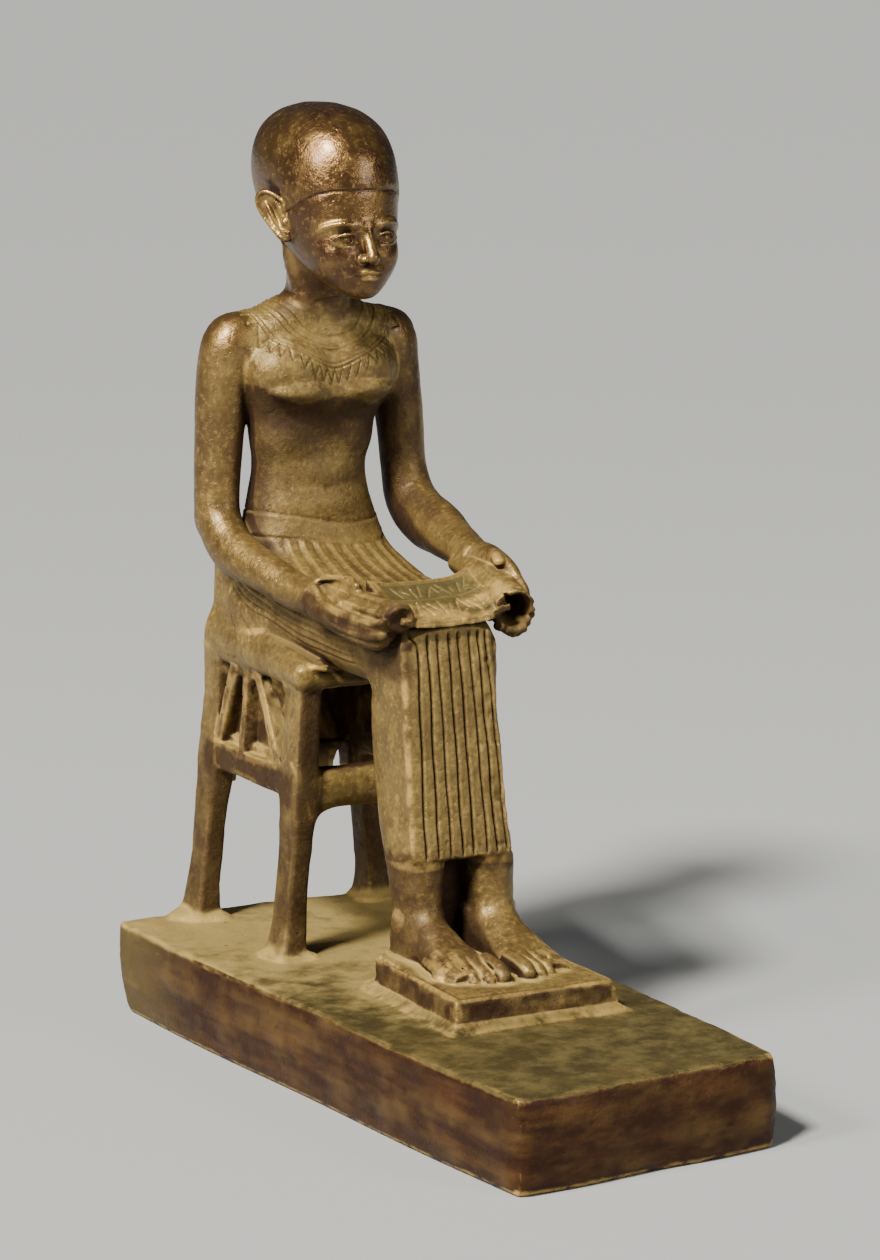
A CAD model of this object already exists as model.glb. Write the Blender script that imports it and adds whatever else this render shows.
# Looks of the seated bronze figure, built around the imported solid.
#
# The one casting is modelled as a distance field on a 0.2 mm grid, from the
# same stations as the solid, in the figure's own frame and in millimetres.
# It is meshed, carved with the finer relief, thinned to under 200,000
# triangles, and moved into the row frame, in metres.

import math
import time

import bpy
import numpy as np
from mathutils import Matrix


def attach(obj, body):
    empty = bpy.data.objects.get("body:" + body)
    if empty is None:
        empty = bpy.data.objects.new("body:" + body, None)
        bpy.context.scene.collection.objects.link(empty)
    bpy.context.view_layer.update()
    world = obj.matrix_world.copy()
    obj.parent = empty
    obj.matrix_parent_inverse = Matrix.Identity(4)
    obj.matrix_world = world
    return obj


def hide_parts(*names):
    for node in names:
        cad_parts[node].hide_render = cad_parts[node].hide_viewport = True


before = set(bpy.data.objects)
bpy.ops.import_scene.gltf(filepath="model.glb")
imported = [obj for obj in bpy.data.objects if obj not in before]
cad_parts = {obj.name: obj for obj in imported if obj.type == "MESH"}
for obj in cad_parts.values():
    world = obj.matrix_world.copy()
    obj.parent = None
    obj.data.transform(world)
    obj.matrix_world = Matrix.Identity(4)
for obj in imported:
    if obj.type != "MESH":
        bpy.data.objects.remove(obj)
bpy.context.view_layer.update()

import openvdb as vdb
from mathutils import Matrix, Vector

T0 = time.time()


def note(*words):
    print("[%6.1f s]" % (time.time() - T0), *words)


# ------------------------------------------------------------------- sizes

H = 0.2                       # grid step, mm
BAND = 12                     # half width of each piece's field, steps
FAR = H * BAND
TRIANGLES = 192000            # most the piece may have

TURN = math.radians(-2.8)     # figure's heading on the plinth
SHIFT = np.array([2.8 - 0.74, -0.51, 1.0])
PLINTH_SHIFT = np.array([2.8, 0.0, 1.0])

PLINTH_TOP = 12.0
PLINTH_CORNERS = [(-21.2, -55.4), (20.4, -53.8), (21.9, 54.6), (-21.9, 57.2)]
PLINTH_BOW = [0.3, 2.5, 0.3, 0.8]
REST_TOP = 16.3

SEAT_TOP = 55.2
SEAT_HALF = 13.2
SEAT_FRONT, SEAT_REAR = 22.4, 55.0
LEG_W, LEG_D = 1.8, 2.7       # half widths of a chair leg
SPLAY = {(-1, 0): 2.9, (-1, 1): 3.9, (1, 0): 2.9, (1, 1): 2.7}
RAIL_LOW, RAIL_TOP = 35.4, 39.6
REAR_LOW, REAR_TOP = 32.4, 37.2
SLAB_TOP = 69.0

HEM = 31.0
PANEL_TOP = 63.2

HEAD_TOP = 134.7
CHIN = 107.6
CAP_EDGE = 122.4


def turned(P, a):
    c, s = math.cos(a), math.sin(a)
    out = np.array(P, float)
    x, y = out[..., 0].copy(), out[..., 1].copy()
    out[..., 0], out[..., 1] = c * x - s * y, s * x + c * y
    return out


def to_row(P):
    return turned(P, TURN) + SHIFT


def from_plinth(P):
    return turned(np.asarray(P, float) - PLINTH_SHIFT, -TURN)


# --------------------------------------------------------------- lofted skins

def smooth_rows(rows, m):
    r = np.array(rows, float)
    out = []
    for i in range(len(r) - 1):
        p0, p1, p2, p3 = r[max(i - 1, 0)], r[i], r[i + 1], r[min(i + 2, len(r) - 1)]
        for k in range(m):
            t = k / m
            out.append(0.5 * (2 * p1 + (p2 - p0) * t + (2 * p0 - 5 * p1 + 4 * p2 - p3) * t * t
                              + (3 * p1 - p0 - 3 * p2 + p3) * t ** 3))
    out.append(r[-1])
    return np.array(out)


def super_ring(a, b, p, n):
    t = (np.arange(n) + 0.5) / n * 2 * np.pi
    c, s = np.cos(t), np.sin(t)
    return a * np.sign(c) * np.abs(c) ** (2 / p), b * np.sign(s) * np.abs(s) ** (2 / p)


def skin(rings):
    """closed skin through rings of equal length: (points, triangles), faces outward"""
    rings = np.asarray(rings, float)
    R, n = rings.shape[:2]
    P = np.concatenate([rings.reshape(-1, 3), rings[0].mean(0)[None], rings[-1].mean(0)[None]])
    i = np.arange(n)
    j = (i + 1) % n
    T = []
    for r in range(R - 1):
        a, b = r * n + i, r * n + j
        T.append(np.stack([a, b, a + n], 1))
        T.append(np.stack([b, b + n, a + n], 1))
    ca, top = R * n, (R - 1) * n
    T.append(np.stack([np.full(n, ca), j, i], 1))
    T.append(np.stack([np.full(n, ca + 1), top + i, top + j], 1))
    T = np.concatenate(T)
    if np.einsum("ij,ij->i", P[T[:, 0]], np.cross(P[T[:, 1]], P[T[:, 2]])).sum() < 0:
        T = T[:, ::-1]
    return P, T


def upright(rows, n=72, m=8):
    """rows of [z, x, y, halfX, halfY, power]"""
    rings = []
    for z, x, y, a, b, p in smooth_rows(rows, m):
        dx, dy = super_ring(a, b, p, n)
        rings.append(np.stack([x + dx, y + dy, np.full(n, z)], 1))
    return skin(rings)


def limb(rows, n=40, m=8, across=(1, 0, 0)):
    """rows of [x, y, z, half across, half the other way, power]"""
    rows = [list(r) + [2] * (6 - len(r)) for r in rows]
    st = smooth_rows(rows, m)
    across = np.array(across, float)
    rings = []
    for i, r in enumerate(st):
        t = st[min(i + 1, len(st) - 1)][:3] - st[max(i - 1, 0)][:3]
        t /= np.linalg.norm(t)
        u = across - t * (across @ t)
        u /= np.linalg.norm(u)
        v = np.cross(t, u)
        du, dv = super_ring(r[3], r[4], r[5], n)
        rings.append(r[:3] + du[:, None] * u + dv[:, None] * v)
    return skin(rings)


def bar(rows, across=(1, 0, 0), m=1):
    """squarish bar along rows of [x, y, z, half, half]"""
    return limb([list(r[:5]) + [9] for r in rows], 48, m, across)


def box(x0, x1, y0, y1, z0, z1):
    ring = lambda z: np.array([[x0, y0, z], [x1, y0, z], [x1, y1, z], [x0, y1, z]])
    return skin([ring(z0), ring(z1)])


# ----------------------------------------------------------- distance fields

def soft_min(a, b, k):
    m = np.minimum(a, b)
    if k <= 0:
        return m
    h = np.maximum(k - np.abs(a - b), 0) / k
    return m - h * h * (k * 0.25) * np.clip((k - m) * (2 / k), 0, 1)


class Field:
    """signed distance, mm, on the grid: negative inside"""

    def __init__(self, lo, hi):
        self.i0 = np.floor(np.array(lo) / H).astype(int)
        self.i1 = np.ceil(np.array(hi) / H).astype(int) + 1
        self.d = np.full(tuple(self.i1 - self.i0), FAR, np.float32)

    def part(self, lo, hi, grow=1.6):
        a = np.maximum(np.floor((np.array(lo) - grow) / H).astype(int), self.i0)
        b = np.minimum(np.ceil((np.array(hi) + grow) / H).astype(int) + 1, self.i1)
        b = np.maximum(b, a + 1)
        s = tuple(slice(p - q, r - q) for p, q, r in zip(a, self.i0, b))
        X = [(np.arange(p, r) * H).astype(np.float32) for p, r in zip(a, b)]
        return s, a, b, X[0][:, None, None], X[1][None, :, None], X[2][None, None, :]

    def skin_field(self, mesh, grow):
        P, T = mesh
        s, a, b, *_ = self.part(P.min(0), P.max(0), grow)
        g = vdb.FloatGrid.createLevelSetFromPolygons(
            np.ascontiguousarray(P, np.float32), triangles=np.ascontiguousarray(T, np.uint32),
            transform=vdb.createLinearTransform(voxelSize=H), halfWidth=BAND)
        out = np.zeros(tuple(b - a), np.float32)
        g.copyToArray(out, ijk=tuple(int(v) for v in a))
        return s, out

    def add(self, mesh, k=0.5):
        s, d = self.skin_field(mesh, k + 0.6)
        self.d[s] = soft_min(self.d[s], d, k)
        return self

    def cut(self, mesh, k=0.2):
        s, d = self.skin_field(mesh, k + 0.6)
        self.d[s] = -soft_min(-self.d[s], d, k)
        return self

    def merge(self, other, k=0.5):
        a = np.maximum(self.i0, other.i0)
        b = np.minimum(self.i1, other.i1)
        s = tuple(slice(p - q, r - q) for p, q, r in zip(a, self.i0, b))
        o = tuple(slice(p - q, r - q) for p, q, r in zip(a, other.i0, b))
        self.d[s] = soft_min(self.d[s], other.d[o], k)
        return self

    def ball_field(self, c, r, turn=None, grow=1.6):
        c, r = np.array(c, float), np.array(r, float) * np.ones(3)
        R = r.max() if turn is not None else r
        s, a, b, X, Y, Z = self.part(c - R, c + R, grow)
        p = [X - np.float32(c[0]), Y - np.float32(c[1]), Z - np.float32(c[2])]
        if turn is not None:      # rows of turn are the ball's own axes
            p = [sum(np.float32(turn[i][j]) * p[j] for j in range(3)) for i in range(3)]
        k0 = np.sqrt(sum((q / np.float32(w)) ** 2 for q, w in zip(p, r)))
        k1 = np.sqrt(sum((q / np.float32(w * w)) ** 2 for q, w in zip(p, r))) + 1e-6
        return s, (k0 * (k0 - 1) / k1).astype(np.float32)

    def ball(self, c, r, k=0.5, turn=None):
        s, d = self.ball_field(c, r, turn, k + 0.8)
        self.d[s] = soft_min(self.d[s], d, k)
        return self

    def dent(self, c, r, k=0.3, turn=None):
        s, d = self.ball_field(c, r, turn, k + 0.8)
        self.d[s] = -soft_min(-self.d[s], d, k)
        return self

    def tube_field(self, pts, rad, m, grow):
        st = smooth_rows([list(p) + [r] for p, r in zip(pts, np.broadcast_to(rad, len(pts)))], m)
        s, a, b, X, Y, Z = self.part(st[:, :3].min(0) - st[:, 3].max(), st[:, :3].max(0) + st[:, 3].max(), grow)
        best = None
        for p, q in zip(st[:-1], st[1:]):
            d = q[:3] - p[:3]
            L = float(d @ d) + 1e-12
            t = ((X - p[0]) * d[0] + (Y - p[1]) * d[1] + (Z - p[2]) * d[2]) / L
            t = np.clip(t, 0, 1)
            e = np.sqrt((X - p[0] - t * d[0]) ** 2 + (Y - p[1] - t * d[1]) ** 2 + (Z - p[2] - t * d[2]) ** 2)
            e = e - (p[3] + t * (q[3] - p[3]))
            best = e if best is None else np.minimum(best, e)
        return s, best.astype(np.float32)

    def tube(self, pts, rad, k=0.4, m=4):
        s, d = self.tube_field(pts, rad, m, k + 0.6)
        self.d[s] = soft_min(self.d[s], d, k)
        return self

    def groove(self, pts, rad, k=0.15, m=4):
        s, d = self.tube_field(pts, rad, m, k + 0.6)
        self.d[s] = -soft_min(-self.d[s], d, k)
        return self


# ------------------------------------------------------------- the figure

def plinth():
    top = PLINTH_TOP + 1.0

    def outline(grow, lean, z):
        pts = []
        for c in range(4):
            (x0, y0), (x1, y1) = PLINTH_CORNERS[c], PLINTH_CORNERS[(c + 1) % 4]
            L = math.hypot(x1 - x0, y1 - y0)
            nx, ny = (y1 - y0) / L, -(x1 - x0) / L
            n = 36 if c % 2 == 0 else 80
            t = np.arange(n) / n
            w = np.sin(np.pi * t)
            # corners are rounded off a little, by pulling the outline in near them
            e = np.minimum(t, 1 - t) * L
            out = grow + PLINTH_BOW[c] * w + 0.35 * np.sin(9 * t + 2.1 * c) * w - 0.55 * np.exp(-(e / 0.8) ** 2)
            px = x0 + (x1 - x0) * t + nx * out
            py = y0 + (y1 - y0) * t + ny * out
            py = py - np.where(py > 0, lean * (py / 57.2) ** 6, 0)
            pts.append(np.stack([px, py, np.full(n, z)], 1))
        return from_plinth(np.concatenate(pts))

    levels = [(0.0, 3.2, 0.0), (0.25, 3.1, 0.3), (0.5, 2.7, 1.2), (0.75, 2.0, 3.4), (0.9, 1.3, 6.0), (0.8, 0.8, 8.4),
              (0.55, 0.3, 10.6), (0.3, 0.1, 12.2), (0.05, 0, 12.75), (-0.3, 0, 13.0)]
    return skin([outline(g, l, z) for g, l, z in levels])


def footrest():
    def ring(g, z0, z1):
        q = [(-12.6 - g, -23.4 - g, z0), (12.6 + g, -23.4 - g, z0), (11.7 + g, 2.0 + g, z1), (9.2 + g * 0.6, 5.0 + g, z1),
             (-9.2 - g * 0.6, 5.0 + g, z1), (-11.7 - g, 2.0 + g, z1)]
        q = np.array(q)
        out = []
        for i in range(6):
            a, b = q[i], q[(i + 1) % 6]
            n = 20
            t = (np.arange(n) / n)[:, None]
            out.append(a + (b - a) * t)
        return np.concatenate(out)

    return skin([ring(1.1, PLINTH_TOP - 1, PLINTH_TOP - 1), ring(0.9, PLINTH_TOP + 0.1, PLINTH_TOP + 0.1), ring(0.25, PLINTH_TOP + 1.1, PLINTH_TOP + 1.1),
                 ring(0.05, REST_TOP - 0.6, REST_TOP), ring(-0.1, REST_TOP - 0.15, REST_TOP + 0.4), ring(-0.45, REST_TOP, REST_TOP + 0.5)])


def leg_rows(s, rear):
    x = s * (SEAT_HALF - LEG_W)
    y = (SEAT_REAR - LEG_D) if rear else (SEAT_FRONT + LEG_D)
    reach = SEAT_TOP - 4 - PLINTH_TOP
    rows = []
    for z, w, d in ((PLINTH_TOP - 1, 1.3, 1.3), (PLINTH_TOP + 0.4, 0.9, 0.9), (PLINTH_TOP + 2.0, 0.3, 0.35), (PLINTH_TOP + 5, 0.0, 0.0),
                    (22, -0.1, -0.2), (28, -0.05, -0.05), (33, 0.1, 0.2), (RAIL_LOW + 2, 0.25, 0.4), (46, 0.1, 0.1), (SEAT_TOP - 1.5, 0.1, 0.1)):
        k = max(0.0, (SEAT_TOP - 4 - z) / reach)
        wob = 0.16 * math.sin(z * 0.55 + 2 * s + 3 * rear)
        rows.append([x + s * SPLAY[(s, rear)] * k ** 1.25 + wob, y + 0.3 * (1 - (z - PLINTH_TOP) / reach) + wob, z, LEG_W + w, LEG_D + d, 5.5])
    return rows


def chair(f):
    for s in (-1, 1):
        for rear in (0, 1):
            f.add(limb(leg_rows(s, rear), 48, 5), 0.5)
    yF, yR = SEAT_FRONT + LEG_D, SEAT_REAR - LEG_D
    ym = (yF + yR) / 2
    xs = SEAT_HALF - LEG_W

    # seat: soft slab, a little lumpy at the front corners
    seat = []
    for g, z in ((-0.6, 51.7), (0.1, 52.2), (0.3, 53.0), (0.3, 54.0), (-0.1, 54.9), (-1.0, 55.35)):
        a, b = super_ring(SEAT_HALF + g, (SEAT_REAR - SEAT_FRONT) / 2 + g, 14, 120)
        seat.append(np.stack([a, (SEAT_FRONT + SEAT_REAR) / 2 + b, np.full(120, z)], 1))
    f.add(skin(seat), 0.9)
    f.ball((-12.3, 23.4, 53.2), (1.5, 1.7, 2.0), 0.8).ball((12.3, 23.4, 53.2), (1.5, 1.7, 2.0), 0.8)
    f.add(upright([[54.2, 0, 49.0, 13.2, 5.8, 6], [56.4, 0, 49.8, 12.7, 5.0, 6], [59.2, 0, 50.6, 12.4, 4.3, 6], [64, 0, 50.8, 12.3, 3.9, 6],
                   [68.0, 0, 51.0, 12.2, 3.5, 5], [68.9, 0, 51.0, 11.6, 2.9, 4], [69.1, 0, 51.0, 10.8, 2.3, 3]], 120, 5), 1.0)

    # the seat's sides slope up to the robe
    for s in (-1, 1):
        f.add(limb([[s * 12.1, 23.2, 53.9, 1.5, 1.3, 2.4], [s * 12.1, 29, 54.3, 1.5, 1.6, 2.4], [s * 12.0, 38, 54.7, 1.6, 1.9, 2.4], [s * 11.9, 47, 55.0, 1.7, 2.0, 2.4], [s * 11.9, 53.6, 55.0, 1.5, 1.6, 2.4]], 32, 5), 1.6)
        f.add(limb([[s * 10.6, 23.4, 54.4, 2.0, 1.3, 2.1], [s * 10.7, 29, 55.2, 2.3, 2.0, 2.1], [s * 10.9, 38, 55.8, 2.5, 2.5, 2.1], [s * 11.0, 47, 56.4, 2.6, 2.7, 2.1], [s * 11.0, 53.0, 56.4, 2.4, 2.4, 2.1]], 32, 5), 2.0)
    for x, y, z, r in ((-10.9, 21.8, 55.2, 0.7), (-9.9, 21.4, 55.0, 0.55), (-12.7, 22.4, 54.6, 0.8), (-12.9, 25.6, 54.9, 0.6), (11.4, 22.0, 55.1, 0.7)):
        f.ball((x, y, z), (r * 1.3, r, r * 0.8), 0.5)
    # side panels
    for s in (-1, 1):
        xp = s * (SEAT_HALF - 1.95)
        f.add(box(min(xp, s * (SEAT_HALF - 2.7)), max(xp, s * (SEAT_HALF - 2.7)), yF, yR, RAIL_LOW + 1.2, SEAT_TOP - 2), 0.5)
        xr = s * (SEAT_HALF - LEG_W + 0.9)
        f.add(bar([[xr, yF - 1, 37.2, 1.75, 2.6], [xr, yF + 4, 37.5, 1.7, 2.15], [xr + s * 0.1, ym, 37.4, 1.6, 1.95], [xr, yR - 4, 37.5, 1.7, 2.1],
                   [xr, yR + 1, 37.3, 1.75, 2.6]], m=5), 0.6)
        xt = s * (SEAT_HALF - 1.3)
        lean = s * 0.55
        for y0, y1, w in ((ym + 5.4, yR - 2.5, 1.2), (ym + 1.6, ym + 2.8, 0.95), (ym - 1.3, yF + 3.9, 1.05)):
            f.add(bar([[xt, y0, SEAT_TOP - 2.6, 1.3, w], [xt + lean * 0.5, (y0 + y1) / 2, (SEAT_TOP + RAIL_TOP) / 2 - 1.5, 1.35, w * 0.92],
                       [xt + lean, y1, RAIL_TOP - 0.6, 1.3, w]], m=3), 0.35)
        f.add(box(min(xp, s * (SEAT_HALF - 0.35)), max(xp, s * (SEAT_HALF - 0.35)), ym - 2.4, ym + 6.6, SEAT_TOP - 4.6, SEAT_TOP - 2), 0.5)
        # rough metal left in the upper ends of the panel
        for y, z, r in ((ym - 5.0, 51.0, 1.8), (yF + 4.6, 51.0, 1.5), (yR - 2.6, 50.4, 1.5), (yF + 5.4, 47.2, 1.1), (yR - 2.2, 46.5, 1.0), (yF + 3.2, 43.0, 1.0), (ym - 4.4, 46.6, 0.9)):
            f.ball((s * (SEAT_HALF - 2.1), y, z), (1.2, r, r), 0.7)
        # sloping ledge on the rail, inside the panel
        f.add(bar([[s * (SEAT_HALF - 1.9), yF, 39.8, 0.9, 0.7], [s * (SEAT_HALF - 1.9), yR, 39.8, 0.9, 0.7]]), 0.7)

    # front stretcher
    st = lambda x, g, h: [x, yF - 0.2, 36.6 - 0.35 * h, 2.55 + g, 2.9 + h, 2.8]
    f.add(limb([st(-12.6, 0.1, 2.6), st(-10.4, 0, 0.9), st(-7.8, 0.1, 0.1), st(-4, 0.1, 0.1), st(0, 0.1, 0.1), st(4, 0.05, 0.0), st(7.8, 0, 0.1),
                st(10.4, 0, 0.9), st(12.6, 0.1, 2.6)], 40, 5, (0, 1, 0)), 0.7)
    # metal left under the seat's front corners
    for s in (-1, 1):
        f.tube([(s * 10.6, yF, 51.5), (s * 9.6, yF + 0.2, 49.5), (s * 9.9, yF + 0.4, 44.5)], [1.2, 1.1, 0.7], 0.9)

    # rear panel, its struts and low rail
    back = Field((-14, 49.5, 29), (14, 58, 56))
    back.add(box(-xs, xs, SEAT_REAR - 2.6, SEAT_REAR - 1.3, REAR_TOP - 1, SEAT_TOP - 2), 0.4)
    back.add(bar([[-xs - 1, SEAT_REAR - 1.8, 34.8, 1.7, 2.45], [0, SEAT_REAR - 1.7, 34.9, 1.7, 2.3], [xs + 1, SEAT_REAR - 1.8, 34.8, 1.7, 2.45]], (0, 1, 0), 5), 0.5)
    for x0, x1 in ((-1.2, -7.8), (1.2, 7.8), (0, 0)):
        back.add(bar([[x0, SEAT_REAR - 1.5, SEAT_TOP - 2.4, 1.15, 1.4], [x1, SEAT_REAR - 1.4, REAR_TOP - 0.6, 1.05, 1.4]]), 0.35)
    for s in (-1, 1):
        back.cut(upright([[REAR_LOW - 2, s * 7.9, SEAT_REAR - 2, 1.5, 6, 4], [REAR_LOW + 1.6, s * 8.2, SEAT_REAR - 2, 1.2, 6, 4],
                          [REAR_LOW + 4.2, s * 8.6, SEAT_REAR - 2, 0.35, 6, 4]], 40, 4), 0.3)
    f.merge(back, 0.5)


def torso(f):
    f.add(upright([
        [55.0, 0, 41.6, 12.1, 9.6, 2.7], [60.5, -0.1, 42.0, 12.3, 9.3, 2.6], [66.0, -0.4, 42.6, 12.1, 8.6, 2.4],
        [70.0, -0.9, 43.2, 11.3, 7.6, 2.3], [74.0, -1.2, 43.5, 10.3, 6.6, 2.2], [77.5, -1.3, 43.6, 9.4, 5.9, 2.2], [81.0, -1.2, 43.5, 8.9, 5.6, 2.2],
        [85.5, -1.0, 43.6, 9.2, 5.5, 2.3], [89.2, -0.6, 43.5, 10.3, 5.9, 2.4], [92.0, -0.1, 43.2, 11.5, 6.7, 2.5],
        [95.0, 0, 43.7, 12.3, 6.8, 2.5], [99.0, 0, 44.3, 13.0, 6.2, 2.4], [102.2, 0, 44.7, 11.0, 5.4, 2.3], [105.0, 0, 44.6, 5.4, 4.7, 2.1]]), 0.5)
    f.add(limb([
        [-14.9, 45.6, 99.5, 0.8, 0.9], [-14.6, 45.6, 99.8, 2.0, 2.1], [-13.9, 45.6, 100.2, 2.9, 3.0], [-12.2, 45.5, 101.0, 3.9, 3.3], [-8.0, 45.3, 101.9, 4.4, 2.9], [-4.2, 45.1, 103.4, 4.6, 3.0], [0, 45, 104.0, 4.6, 3.0],
        [4.2, 44.9, 103.4, 4.6, 3.0], [8.0, 44.7, 101.9, 4.4, 2.9], [12.2, 44.4, 100.8, 3.9, 3.3], [13.9, 44.3, 100.0, 2.9, 3.0], [14.6, 44.3, 99.6, 2.0, 2.1], [14.9, 44.3, 99.3, 0.8, 0.9]], 40, 5, (0, 1, 0)), 1.4)
    # breast, ribs and belly
    for s in (-1, 1):
        f.ball((s * 5.6 - 0.1, 40.5, 95.8), (6.2, 4.5, 4.8), 1.2)
        f.ball((s * 5.3 - 0.1, 38.1, 93.1), (4.6, 2.6, 1.8), 0.7)
        f.dent((s * 5.4 - 0.2, 35.0, 88.9), (6.2, 3.3, 2.3), 0.7)
        f.ball((s * 5.0 - 1.0, 42.7, 86.0), (4.2, 4.6, 4.2), 1.6)
    f.ball((-0.9, 42.6, 76.2), (7.6, 5.7, 3.1), 1.6)
    f.ball((-0.9, 42.8, 80.6), (6.0, 5.2, 3.0), 1.6)
    # shoulder blades and the furrow of the back
    for s in (-1, 1):
        f.ball((s * 6.6, 46.6, 95.5), (4.6, 3.8, 5.2), 1.6)
    f.groove([(0, 51.4, 99), (0, 50.9, 92), (-0.8, 50.2, 84), (-1.1, 50.6, 76)], [1.0, 1.1, 1.1, 0.9], 1.6)
    f.groove([(0, 36.0, 96.5), (-0.1, 35.3, 94.2), (-0.2, 36.0, 91.2)], [0.4, 0.8, 0.7], 1.1)
    f.groove([(-0.2, 36.6, 89.6), (-0.4, 37.0, 85), (-0.6, 36.9, 80.6)], [0.45, 0.4, 0.35], 0.9)
    f.dent((-0.9, 36.6, 78.5), (0.85, 1.0, 0.6), 0.5)


def neck(f):
    f.add(upright([[102.0, 0, 44.9, 6.9, 5.2, 2], [104.0, 0, 44.6, 5.6, 4.8, 2], [106.0, 0, 43.8, 4.9, 4.5, 2], [108.6, 0, 42.8, 4.5, 4.7, 2], [112.5, 0, 41.8, 4.9, 5.6, 2], [117, 0, 41.0, 5.2, 6.4, 2], [120, 0, 41.0, 4.0, 5.0, 2]]), 1.2)
    for s in (-1, 1):
        f.tube([(s * 5.0, 41.6, 115.5), (s * 4.5, 41.9, 111.0), (s * 3.2, 41.1, 107.0), (s * 1.6, 40.9, 104.0)], [0.7, 0.7, 0.6, 0.6], 1.8)


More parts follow.
